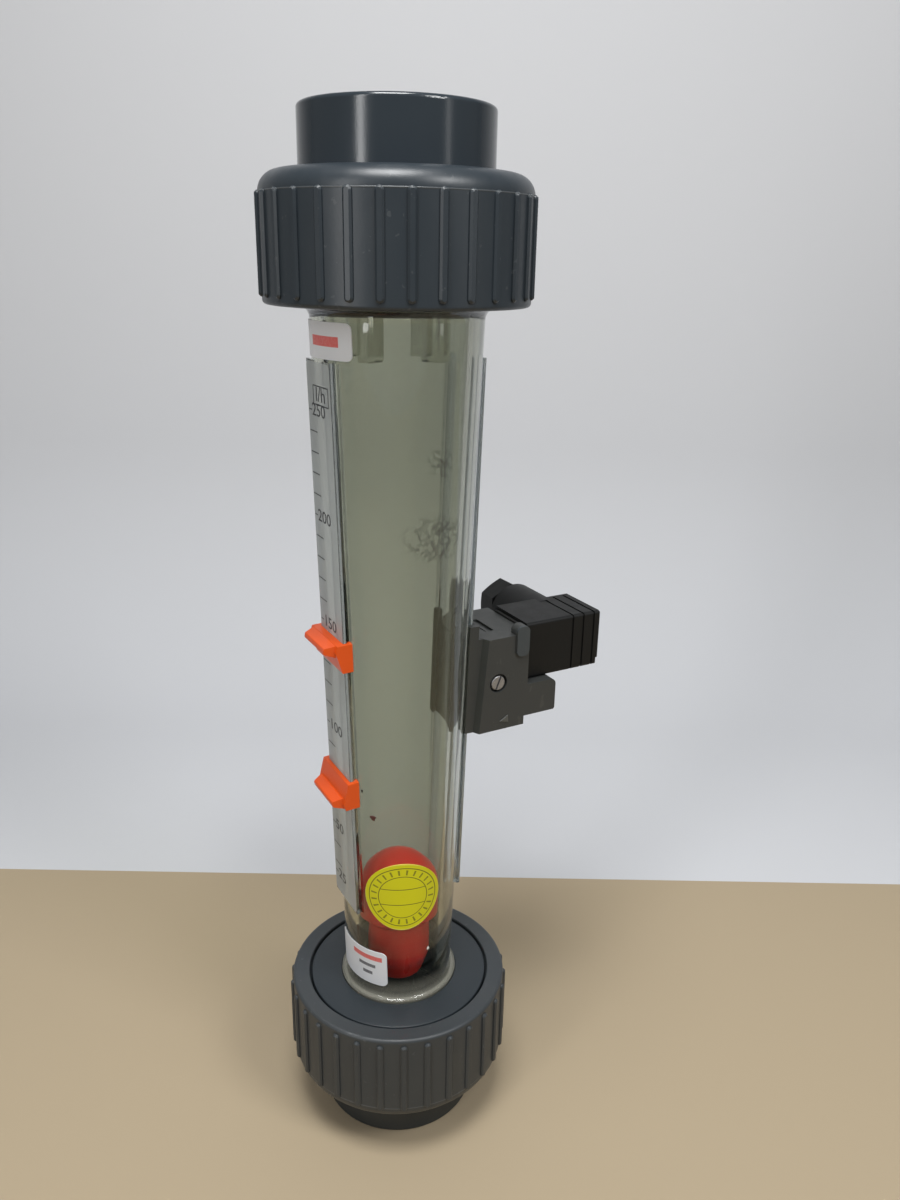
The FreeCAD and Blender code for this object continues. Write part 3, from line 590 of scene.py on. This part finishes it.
@dataclass(frozen=True)
class WhiteLabel:
    """White film with plain bars in place of print."""

    name: str
    turn: float
    tube_radius: float
    bars: tuple[Bar, ...]
    film: Colour = (0.74, 0.76, 0.80)
    film_worn: Colour = (0.64, 0.66, 0.69)

    def make(self) -> bpy.types.Material:
        """Returns the material: each bar is a rectangle in arc length and height, a bit worn."""
        g = Graph(self.name)
        arc, height = g.arc(self.turn, self.tube_radius), g.axis("Z")
        colour = g.mix(g.noise(6.0, 3.0) * 0.6, self.film, self.film_worn)
        for bar in self.bars:
            inside = ((abs(arc - bar.arc) < bar.half_width)
                      * (abs(height - bar.height) < bar.half_height))
            worn = inside * (g.noise(0.5, 2.0) * 0.3 + 0.68)
            colour = g.mix(worn, colour, bar.mark.value)
        return g.finish(g.surface(Base_Color=colour, Roughness=0.45,
                                  Normal=g.bump(g.noise(3.0), 0.02)))


# ---------------------------------------------------------------- mesh making
def mesh_object(name: str, points: np.ndarray, faces: np.ndarray) -> bpy.types.Object:
    """Makes an object from arrays.

    Args:
        name: Name of the piece.
        points: Corners in millimetres, one row each.
        faces: Indices of the corners of each face, one row each.

    Returns:
        The linked object, with its place in its mesh.
    """
    mesh = bpy.data.meshes.new(name)
    mesh.from_pydata((points * MM).tolist(), [], faces.tolist())
    mesh.update()
    made = bpy.data.objects.new(name, mesh)
    bpy.context.scene.collection.objects.link(made)
    return made


def grid_faces(rows: int, columns: int) -> np.ndarray:
    """Joins the corners of a grid that closes on itself both ways.

    Args:
        rows: Number of rows.
        columns: Number of corners in each row; a corner's index is row * columns + column.

    Returns:
        The quads, one row each; the last ones join the last row to the first.
    """
    i, j = np.meshgrid(np.arange(rows), np.arange(columns), indexing="ij")
    k, m = (i + 1) % rows, (j + 1) % columns
    quads = np.stack([i * columns + j, k * columns + j, k * columns + m, i * columns + m], -1)
    return quads.reshape(-1, 4)


def smooth(piece: bpy.types.Object, angle: float) -> None:
    """Shades a piece smooth where its faces meet at less than angle degrees."""
    count = len(piece.data.polygons)
    piece.data.polygons.foreach_set("use_smooth", np.ones(count, bool))
    piece.data.set_sharp_from_angle(angle=math.radians(angle))


def dress(material: bpy.types.Material, *nodes: str) -> None:
    """Gives CAD nodes another material in all their slots."""
    for node in nodes:
        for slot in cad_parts[node].material_slots:
            slot.material = material


def add(piece: bpy.types.Object, body: str, material: bpy.types.Material) -> None:
    """Rides a new piece on a body and gives it its material.

    Args:
        piece: The new piece.
        body: Body that carries it.
        material: Its finish.
    """
    piece.data.materials.append(material)
    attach(piece, body)
    log.info("%s: %d faces on %s", piece.name, len(piece.data.polygons), body)


# ---------------------------------------------------------------- sub-assemblies
@dataclass
class Unions:
    """Both union joints: ends, rings, nuts and the threaded bushes on the tube."""

    total: float = 251.4
    start: float = 25.75
    length: float = 12.6
    crest: float = 23.75
    depth: float = 1.35
    pitch: float = 25.4 / 11
    wave_gain: float = 1.7
    wave_cut: float = 0.35
    rim_gap: float = 0.9
    run_out: float = 0.8
    rim_bevel: float = 0.15
    rim_size: float = 0.5
    bores: tuple[float, float] = (15.55, 20.45)
    line_height: float = 16.8
    turn_steps: int = 160
    rise_steps: int = 76
    bush_grey: Colour = (0.020, 0.026, 0.031)
    grey: Colour = (0.027, 0.034, 0.041)
    dark_grey: Colour = (0.019, 0.026, 0.033)
    dust: Colour = (0.032, 0.041, 0.048)
    warm_dust: Colour = (0.056, 0.058, 0.053)

    def thread_radius(self, angle: np.ndarray, rise: np.ndarray) -> np.ndarray:
        """Finds the radius of the thread surface.

        A triangle wave of the thread's phase, height / pitch - angle / turn, is clipped flat at
        crest and root, and fades out near both ends of the bush.

        Args:
            angle: Angles round the axis, in radians.
            rise: Heights over the face that seats on the union end.

        Returns:
            The radius at each of them.
        """
        phase = np.mod(rise / self.pitch - angle / FULL_TURN, 1.0)
        wave = np.clip(self.wave_gain * np.abs(2 * phase - 1) - self.wave_cut, 0.0, 1.0)
        to_rim = (self.length - rise - self.rim_gap) / self.run_out
        fade = np.clip(to_rim, 0, 1) * np.clip(rise / self.run_out, 0, 1)
        return self.crest - self.depth * wave * fade

    def bush(self, bore: float, flipped: bool) -> tuple[np.ndarray, np.ndarray]:
        """Works out a threaded bush.

        The grid's first parameter turns about the axis; the second walks round the wall's section:
        up the threaded outside, over the bevelled rim and down the bore.

        Args:
            bore: Inside radius.
            flipped: Whether to mirror it in height for the top, which makes the right-handed
                thread left-handed.

        Returns:
            Its points and faces.
        """
        turns = np.linspace(0, FULL_TURN, self.turn_steps, endpoint=False)
        outside = np.linspace(0.0, self.length - self.rim_size, self.rise_steps)
        bevel = self.rim_bevel
        rim = np.array([[self.crest - bevel, self.length - bevel],
                        [self.crest - self.rim_size, self.length],
                        [bore + bevel, self.length], [bore, self.length - bevel], [bore, 0.0]])
        angle = turns[:, None] + 0 * outside[None, :]
        radius = self.thread_radius(angle, outside[None, :] + 0 * angle)
        radius = np.concatenate([radius, np.tile(rim[:, 0], (len(turns), 1))], 1)
        rise = np.concatenate([outside, rim[:, 1]])[None, :] + 0 * radius
        angle = turns[:, None] + 0 * radius
        height = self.start + rise
        if flipped:
            height = self.total - height
        points = np.stack([radius * np.cos(angle), radius * np.sin(angle), height], -1)
        faces = grid_faces(*radius.shape)
        return points.reshape(-1, 3), faces[:, ::-1] if flipped else faces

    def build(self) -> None:
        """Adds the threaded bushes and dresses the union pieces."""
        bush = MouldedPlastic("bush_grey", self.bush_grey, self.dust, 0.42, 0.02, 0.3, 0.4)
        material = bush.make()
        for flipped, body in ((False, "bottom"), (True, "top")):
            points, faces = self.bush(self.bores[int(flipped)], flipped)
            piece = mesh_object(body + "_bush_thread", points, faces)
            smooth(piece, 35)
            add(piece, "tube", material)
            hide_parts(body + "_threaded_bush")
        nut_low = NutPlastic("nut_low", self.grey, self.warm_dust, 0.45, self.line_height)
        nut_high = NutPlastic("nut_high", self.dark_grey, self.dust, 0.36,
                              self.total - self.line_height)
        end_low = MouldedPlastic("end_low", (0.020, 0.025, 0.029), self.warm_dust, 0.45, 0.02, 0.5)
        end_high = MouldedPlastic("end_high", self.dark_grey, self.dust, 0.17, 0.012, 0.4)
        rubber = MouldedPlastic("ring_rubber", (0.012, 0.012, 0.012), (0.03, 0.03, 0.03), 0.7)
        dress(nut_low.make(), "bottom_union_nut")
        dress(nut_high.make(), "top_union_nut")
        dress(end_low.make(), "bottom_union_end")
        dress(end_high.make(), "top_union_end")
        dress(rubber.make(), "bottom_o_ring", "top_o_ring", "plug_gasket", "gland_seal",
              "gland_grommet")


@dataclass
class Tube:
    """The clear cone with its stops, labels, printed scale and specks of dirt."""

    reference: float = 129.7
    cone_radius: float = 16.73
    cone_taper: float = 0.0297
    foot_top: float = 41.0
    skirt_height: float = 38.4
    rail_distance: float = 16.85
    rail_taper: float = 0.0286
    rail_half: float = 6.75
    film_span: tuple[float, float] = (64.6, 201.3)
    film_inset: float = 0.15
    film_corner: float = 1.2
    film_thick: float = 0.025
    scale_base: float = 54.9
    scale_step: float = 0.6255
    scale_bend: float = -0.000327
    first_flow: int = 25
    flow_marks: tuple[int, int, int] = (30, 251, 10)
    numbered: tuple[int, ...] = (25, 50, 100, 150, 200, 250)
    ink_lift: float = 0.035
    ink_thick: float = 0.03
    mark_inset: float = 0.55
    mark_half: float = 0.12
    mark_reach: float = 4.2
    numbered_reach: float = 1.6
    type_width: float = 1.28
    type_size: float = 4.0
    type_left: float = -4.5
    unit_across: tuple[float, float] = (-3.2, 5.3)
    unit_up: tuple[float, float] = (192.3, 196.3)
    unit_line: float = 0.13
    unit_size: float = 4.4
    unit_left: float = -1.9
    speck_thick: float = 0.12
    speck_lift: float = 0.01
    speck_sunk: float = 0.05

    def scale_height(self, flow: np.ndarray) -> np.ndarray:
        """Height of flow marks: a line with a slight bend, because the cone widens upwards."""
        return self.scale_base + self.scale_step * flow + self.scale_bend * flow ** 2

    def on_rail(self, flat: np.ndarray, height: float) -> np.ndarray:
        """Lays points drawn flat on the scale rail's leaning face.

        Args:
            flat: Columns across (to the right), up the rail and out of its face.
            height: Height of the drawing's origin.

        Returns:
            The points in the frame: out is -X and right is -Y.
        """
        lean = math.atan(self.rail_taper)
        z = height + flat[:, 1] * math.cos(lean)
        face = self.rail_distance + self.rail_taper * (z - self.reference)
        return np.stack([-(face + self.ink_lift + flat[:, 2]), -flat[:, 0], z], -1)

    def bars(self, spans: np.ndarray) -> tuple[np.ndarray, np.ndarray]:
        """Makes thin closed bars, each from the eight corners of a box, all at once.

        Args:
            spans: Rows of left, right, low, high and the height that low and high count from.

        Returns:
            Their points and faces.
        """
        left, right, low, high, origin = spans.T
        across = np.stack([left, right, right, left] * 2, -1)
        up = np.stack([low, low, high, high] * 2, -1) + origin[:, None]
        out = np.tile([0.0] * 4 + [self.ink_thick] * 4, (len(spans), 1))
        flat = np.stack([across, up, out], -1).reshape(-1, 3)
        box = np.array([[0, 3, 2, 1], [4, 5, 6, 7], [0, 1, 5, 4],
                        [1, 2, 6, 5], [2, 3, 7, 6], [3, 0, 4, 7]])
        faces = (np.arange(len(spans))[:, None, None] * 8 + box[None]).reshape(-1, 4)
        return self.on_rail(flat, 0.0), faces

    def figures(self, words: str, size: float, left: float, height: float) -> bpy.types.Object:
        """Makes figures lying on the scale rail.

        Args:
            words: The figures.
            size: Height of the type.
            left: Left edge of the figures across the rail.
            height: Height of their middle.

        Returns:
            The mesh object.
        """
        curve = bpy.data.curves.new("figures", "FONT")
        curve.body = words
        curve.size = size
        curve.align_y = "CENTER"
        curve.extrude = self.ink_thick / 2
        curve.resolution_u = 3
        source = bpy.data.objects.new("figures", curve)
        bpy.context.scene.collection.objects.link(source)
        bpy.context.view_layer.update()
        solved = source.evaluated_get(bpy.context.evaluated_depsgraph_get())
        mesh = bpy.data.meshes.new_from_object(solved)
        bpy.data.objects.remove(source)
        flat = np.empty(len(mesh.vertices) * 3)
        mesh.vertices.foreach_get("co", flat)
        flat = flat.reshape(-1, 3) * np.array([self.type_width, 1.0, 1.0])
        flat += np.array([left, 0.0, self.ink_thick / 2])
        mesh.vertices.foreach_set("co", (self.on_rail(flat, height) * MM).ravel())
        mesh.update()
        made = bpy.data.objects.new("scale_" + words.replace("/", "_per_"), mesh)
        bpy.context.scene.collection.objects.link(made)
        return made

    def film(self) -> bpy.types.Object:
        """Makes the milky film under the print.

        Each row of the grid is a ring of four corners round the film's section. Near both ends the
        half width shrinks along a quarter circle of the corner radius.

        Returns:
            The mesh object.
        """
        (low, high), corner = self.film_span, self.film_corner
        half = self.rail_half - self.film_inset
        ends = corner * (1 - np.cos(np.linspace(0.0, math.pi / 2, 7)))
        middle = np.linspace(low + corner, high - corner, 30)[1:-1]
        z = np.concatenate([low + ends, middle, high - ends[::-1]])
        depth = np.clip(corner - np.minimum(z - low, high - z), 0.0, corner)
        width = half - corner + np.sqrt(corner ** 2 - depth ** 2)
        across = np.stack([-width, width, width, -width], -1)
        out = np.tile([-self.film_thick, -self.film_thick, 0.0, 0.0], (len(z), 1))
        flat = np.stack([across, z[:, None] + 0 * across, out], -1).reshape(-1, 3)
        last = 4 * len(z) - 1
        caps = np.array([[0, 1, 2, 3], [last, last - 1, last - 2, last - 3]])
        faces = np.concatenate([grid_faces(len(z), 4)[:-4], caps])
        return mesh_object("scale_film", self.on_rail(flat, 0.0), faces)

    def build_scale(self) -> None:
        """Adds the film and the scale's marks, figures and unit box."""
        milk = MilkyFilm("film_milky", (0.50, 0.54, 0.55), 0.50).make()
        add(self.film(), "tube", milk)
        ink = PlainInk("scale_ink", (0.018, 0.02, 0.028)).make()
        flows = np.concatenate([[self.first_flow], np.arange(*self.flow_marks)])
        reach = np.where(np.isin(flows, self.numbered), self.numbered_reach, self.mark_reach)
        heights = self.scale_height(flows.astype(float))
        left = np.full_like(heights, self.mark_inset - self.rail_half)
        thick = np.full_like(heights, self.mark_half)
        rows = np.stack([left, left + reach, -thick, thick, heights], -1)
        add(mesh_object("scale_marks", *self.bars(rows)), "tube", ink)
        for flow in self.numbered:
            height = float(self.scale_height(float(flow)))
            piece = self.figures(str(flow), self.type_size, self.type_left, height)
            add(piece, "tube", ink)
        (west, east), (low, high), line = self.unit_across, self.unit_up, self.unit_line
        box = np.array([[west, east, -line, line, low], [west, east, -line, line, high],
                        [west - line, west + line, low, high, 0.0],
                        [east - line, east + line, low, high, 0.0]])
        add(mesh_object("scale_unit_box", *self.bars(box)), "tube", ink)
        unit = self.figures("l/h", self.unit_size, self.unit_left, (low + high) / 2)
        add(unit, "tube", ink)

    def speck(self, name: str, turn: float, height: float, size: float, tall: float,
              material: bpy.types.Material) -> None:
        """Adds a speck of dirt stuck on the tube.

        The grid is a flat cushion: height over the tube is (1 - s^2) of its thickness at the
        share s of its radius, with a wavy rim. Its last rows close it under the tube's face.

        Args:
            name: Name of the piece.
            turn: Turn of its middle round the tube.
            height: Height of its middle.
            size: Half width along the tube's girth.
            tall: Half height.
            material: Its finish.
        """
        above, under = np.linspace(0.02, 1.0, 6), np.linspace(0.96, 0.02, 4)
        share = np.concatenate([above, under])[:, None]
        angle = np.linspace(0, FULL_TURN, 20, endpoint=False)[None, :]
        wavy = 1 + 0.18 * np.sin(3 * angle + height) + 0.1 * np.sin(5 * angle)
        upper = np.arange(len(share))[:, None] < len(above)
        dome = self.speck_thick * (1 - share ** 2) + self.speck_lift
        lift = np.where(upper, dome, -self.speck_sunk) + 0 * angle
        radius = self.cone_radius + self.cone_taper * (height - self.reference)
        arc = math.radians(turn) + share * size * wavy * np.cos(angle) / radius
        z = height + share * tall * wavy * np.sin(angle)
        out = radius + self.cone_taper * (z - height) + lift
        points = np.stack([out * np.cos(arc), out * np.sin(arc), z], -1).reshape(-1, 3)
        piece = mesh_object(name, points, grid_faces(*z.shape))
        smooth(piece, 60)
        add(piece, "tube", material)

    def build(self) -> None:
        """Dresses the tube, its stops and labels, and adds scale and dirt."""
        smoky = TubePlastic(
            "smoky_clear", tint=(0.585, 0.600, 0.515), shade=(0.66, 0.67, 0.60), ior=1.16,
            base_radius=self.cone_radius - self.cone_taper * self.reference,
            taper=self.cone_taper, rail_half=self.rail_half,
            foot_top=self.foot_top, skirt_height=self.skirt_height,
            smudges=(Smudge(-84.0, 164.0, 7.2, 5.8), Smudge(-82.0, 181.0, 2.6, 3.2)))
        clear = ClearPlastic("stop_clear", (0.80, 0.80, 0.74), (0.8, 0.8, 0.8), 1.1)
        dark = MouldedPlastic("stop_dark", (0.02, 0.022, 0.022), (0.03, 0.03, 0.03))
        low_label = WhiteLabel("low_film", -163.0, 14.5, (
            Bar(Mark.HEADING, 3.0, 50.9, 4.6, 0.7), Bar(Mark.LINE, 3.1, 48.3, 2.6, 0.5),
            Bar(Mark.LINE, 3.3, 46.0, 1.5, 0.5)))
        high_label = WhiteLabel("high_film", -174.5, 19.1, (
            Bar(Mark.HEADING, 1.5, 205.9, 5.0, 1.05),))
        dress(smoky.make(), "measuring_tube")
        dress(clear.make(), "top_float_stop")
        dress(dark.make(), "bottom_float_stop")
        dress(RoundSticker("round_film", -111.5, 71.1, 15.0, 10.0).make(), "round_sticker")
        dress(low_label.make(), "lower_label")
        dress(high_label.make(), "top_label")
        self.build_scale()
        brown = MouldedPlastic("dirt_brown", (0.06, 0.012, 0.01), (0.12, 0.03, 0.02), 0.6)
        black = MouldedPlastic("dirt_dark", (0.02, 0.018, 0.015), (0.05, 0.04, 0.03), 0.6)
        chalk = MouldedPlastic("speck_white", (0.75, 0.75, 0.72), (0.6, 0.6, 0.6), 0.6)
        self.speck("dirt_spot_low", -138.9, 93.8, 0.75, 0.7, brown.make())
        self.speck("dirt_spot_high", -149.3, 100.6, 0.3, 0.42, black.make())
        self.speck("white_spot", -83.9, 53.3, 0.35, 0.5, chalk.make())


@dataclass
class Float:
    """The red float with its magnet and plug."""

    def build(self) -> None:
        """Dresses the float's pieces."""
        red = MouldedPlastic("float_red", (0.80, 0.032, 0.026), (0.78, 0.05, 0.04), 0.3)
        dress(red.make(), "float_body", "float_plug")
        dress(RubbedMetal("magnet_dark", (0.12, 0.12, 0.13), 0.5).make(), "float_magnet")


@dataclass
class Pointers:
    """The two orange limit clips."""

    def build(self) -> None:
        """Dresses the clips."""
        orange = MouldedPlastic("clip_orange", (0.66, 0.072, 0.003), (0.72, 0.11, 0.008), 0.4)
        dress(orange.make(), "lower_pointer", "upper_pointer")


@dataclass
class ReedContact:
    """The sliding contact with its plug, screws and gland."""

    front: float = -10.3
    latch: tuple[float, float] = (27.5, 129.0)
    triangle: tuple[float, float] = (24.9, 112.2)
    triangle_size: float = 1.5
    triangle_turns: tuple[float, float, float] = (50.0, 190.0, 320.0)
    triangle_rings: tuple[tuple[float, float], ...] = ((0.1, 1.0), (-0.12, 1.0), (-0.22, 0.8))

    def mark(self) -> bpy.types.Object:
        """Makes the small moulded triangle low on the front.

        Its grid has three corners at set turns about the middle, and rings at depths from sunk to
        proud; the last ring is drawn in, which bevels the rim.

        Returns:
            The mesh object.
        """
        x, z = self.triangle
        turn = np.radians(self.triangle_turns)[None, :]
        depth, grow = np.array(self.triangle_rings).T[:, :, None]
        reach = self.triangle_size * grow
        points = np.stack([x + reach * np.cos(turn), self.front + depth + 0 * turn,
                           z + reach * np.sin(turn)], -1).reshape(-1, 3)
        around = grid_faces(3, 3)[:-3]
        sides = np.concatenate([around[:, [0, 1, 2]], around[:, [0, 2, 3]]])
        faces = np.concatenate([sides, [[2, 1, 0], [6, 7, 8]]])
        return mesh_object("moulded_triangle", points, faces[:, ::-1])

    def build(self) -> None:
        """Dresses the contact's pieces and adds the moulded triangle."""
        body = HousingPlastic("contact_grey", (0.032, 0.035, 0.035), (0.052, 0.053, 0.048),
                              (0.044, 0.054, 0.060), self.front, *self.latch)
        pale = MouldedPlastic("contact_mark", (0.075, 0.078, 0.072), (0.1, 0.1, 0.09), 0.4)
        black = MouldedPlastic("plug_black", (0.004, 0.0045, 0.0045), (0.010, 0.010, 0.010),
                               0.5, 0.03, 0.25, 0.3)
        steel = RubbedMetal("screw_steel", (0.46, 0.46, 0.47), 0.45)
        tin = RubbedMetal("pin_tin", (0.75, 0.72, 0.62), 0.3)
        glass = ClearPlastic("reed_clear", (0.8, 0.9, 0.8), (0.8, 0.9, 0.8))
        dress(body.make(), "contact_housing")
        add(self.mark(), "contact", pale.make())
        dress(black.make(), "plug_housing", "plug_insert", "gland_nut")
        dress(steel.make(), "clamp_screw", "plug_screw")
        dress(tin.make(), "terminal_pins")
        dress(glass.make(), "reed_capsule")


# ---------------------------------------------------------------- studio
@dataclass(frozen=True)
class Lamp:
    """Rectangular soft lamp: its place, size and power in watts."""

    name: str
    place: Point
    width: float
    height: float
    power: float

    def add(self, target: Point) -> None:
        """Adds the lamp, aimed at the target."""
        data = bpy.data.lights.new(self.name, "AREA")
        data.shape = "RECTANGLE"
        data.size = self.width * MM
        data.size_y = self.height * MM
        data.energy = self.power
        made = bpy.data.objects.new(self.name, data)
        made.location = Vector(self.place) * MM
        aim = Vector(target) * MM - made.location
        made.rotation_euler = aim.to_track_quat("-Z", "Y").to_euler()
        bpy.context.scene.collection.objects.link(made)


@dataclass
class Studio:
    """Plain floor and backdrop, soft lamps and the camera."""

    camera_place: Point = (-95.37, -198.18, 223.18)
    heading: float = 28.945
    pitch: float = 19.56
    roll: float = 0.9912
    lens: float = 29.16
    sensor: float = 36.0
    clip: tuple[float, float] = (10.0, 10000.0)
    floor_start: float = -900.0
    edge: float = 94.0
    wall: float = 330.0
    cove: float = 120.0
    wall_top: float = 1400.0
    half_width: float = 1400.0
    floor_colour: Colour = (0.41, 0.33, 0.22)
    sweep_colour: Colour = (0.60, 0.61, 0.63)
    sky_colour: Colour = (0.95, 0.97, 1.0)
    sky_strength: float = 0.24
    target: Point = (0.0, 0.0, 125.0)
    lamps: tuple[Lamp, ...] = (
        Lamp("strip_left", (-460.0, -205.0, 330.0), 75.0, 420.0, 0.8),
        Lamp("strip_right", (265.0, -424.0, 330.0), 45.0, 420.0, 0.13),
        Lamp("key", (150.0, -400.0, 560.0), 170.0, 170.0, 1.5),
        Lamp("top", (-90.0, -120.0, 640.0), 200.0, 200.0, 2.5))

    def sheet(self, name: str, profile: np.ndarray, colour: Colour) -> None:
        """Adds one matte sheet of the stage.

        The profile is drawn out sideways, across the camera's heading.

        Args:
            name: Name of the sheet.
            profile: Rows of distance along the camera's heading and height.
            colour: Its colour.
        """
        head = math.radians(self.heading)
        side = np.array([-self.half_width, self.half_width])[None, :] + 0 * profile[:, :1]
        away = profile[:, :1] + 0 * side
        rise = profile[:, 1:] + 0 * side
        points = np.stack([away * math.sin(head) + side * math.cos(head),
                           away * math.cos(head) - side * math.sin(head), rise], -1)
        low = 2 * np.arange(len(profile) - 1)[:, None]
        piece = mesh_object(name, points.reshape(-1, 3), low + np.array([[0, 1, 3, 2]]))
        smooth(piece, 40)
        g = Graph(name + "_matte")
        piece.data.materials.append(g.finish(g.surface(Base_Color=colour, Roughness=0.9)))

    def backdrop(self) -> None:
        """Adds the floor and, behind its far edge, a pale sweep that curves up into a wall.

        The curve of the sweep is a quarter circle: centre + radius * (sin, -cos) of an angle.
        """
        turn = np.linspace(0.0, math.pi / 2, 13)
        curve = np.stack([self.wall - self.cove + self.cove * np.sin(turn),
                          self.cove - self.cove * np.cos(turn)], -1)
        floor = np.array([[self.floor_start, 0.0], [self.edge, 0.0]])
        sweep = np.concatenate([[[self.edge, 0.0]], curve, [[self.wall, self.wall_top]]])
        self.sheet("floor", floor, self.floor_colour)
        self.sheet("sweep", sweep, self.sweep_colour)

    def camera(self) -> None:
        """Adds the camera: heading turns from +Y towards +X, pitch looks down, roll leans left."""
        head, down, roll = (math.radians(v) for v in (self.heading, self.pitch, self.roll))
        level = Vector((math.sin(head), math.cos(head), 0))
        look = level * math.cos(down) - Vector((0, 0, 1)) * math.sin(down)
        right = Vector((math.cos(head), -math.sin(head), 0))
        up = right.cross(look)
        turned_right = right * math.cos(roll) + up * math.sin(roll)
        turned_up = up * math.cos(roll) - right * math.sin(roll)
        data = bpy.data.cameras.new("camera")
        data.sensor_width = self.sensor
        data.lens = self.lens
        data.clip_start, data.clip_end = (reach * MM for reach in self.clip)
        made = bpy.data.objects.new("camera", data)
        pose = Matrix((turned_right, turned_up, -look)).transposed().to_4x4()
        made.matrix_world = Matrix.Translation(Vector(self.camera_place) * MM) @ pose
        bpy.context.scene.collection.objects.link(made)
        bpy.context.scene.camera = made

    def sky(self) -> None:
        """Adds the even light from all sides."""
        world = bpy.data.worlds.new("studio")
        world.use_nodes = True
        background = world.node_tree.nodes["Background"]
        background.inputs[0].default_value = (*self.sky_colour, 1.0)
        background.inputs[1].default_value = self.sky_strength
        bpy.context.scene.world = world

    def build(self) -> None:
        """Sets up the stage, light and camera."""
        bpy.context.scene.view_settings.view_transform = "Standard"
        self.sky()
        self.backdrop()
        for lamp in self.lamps:
            lamp.add(self.target)
        self.camera()


def main() -> None:
    """Builds each sub-assembly in order."""
    logging.basicConfig(level=logging.INFO, format="%(name)s %(message)s")
    for part in (Unions(), Tube(), Float(), Pointers(), ReedContact(), Studio()):
        part.build()
        log.info("%s done", type(part).__name__)


if __name__ == "__main__":
    main()
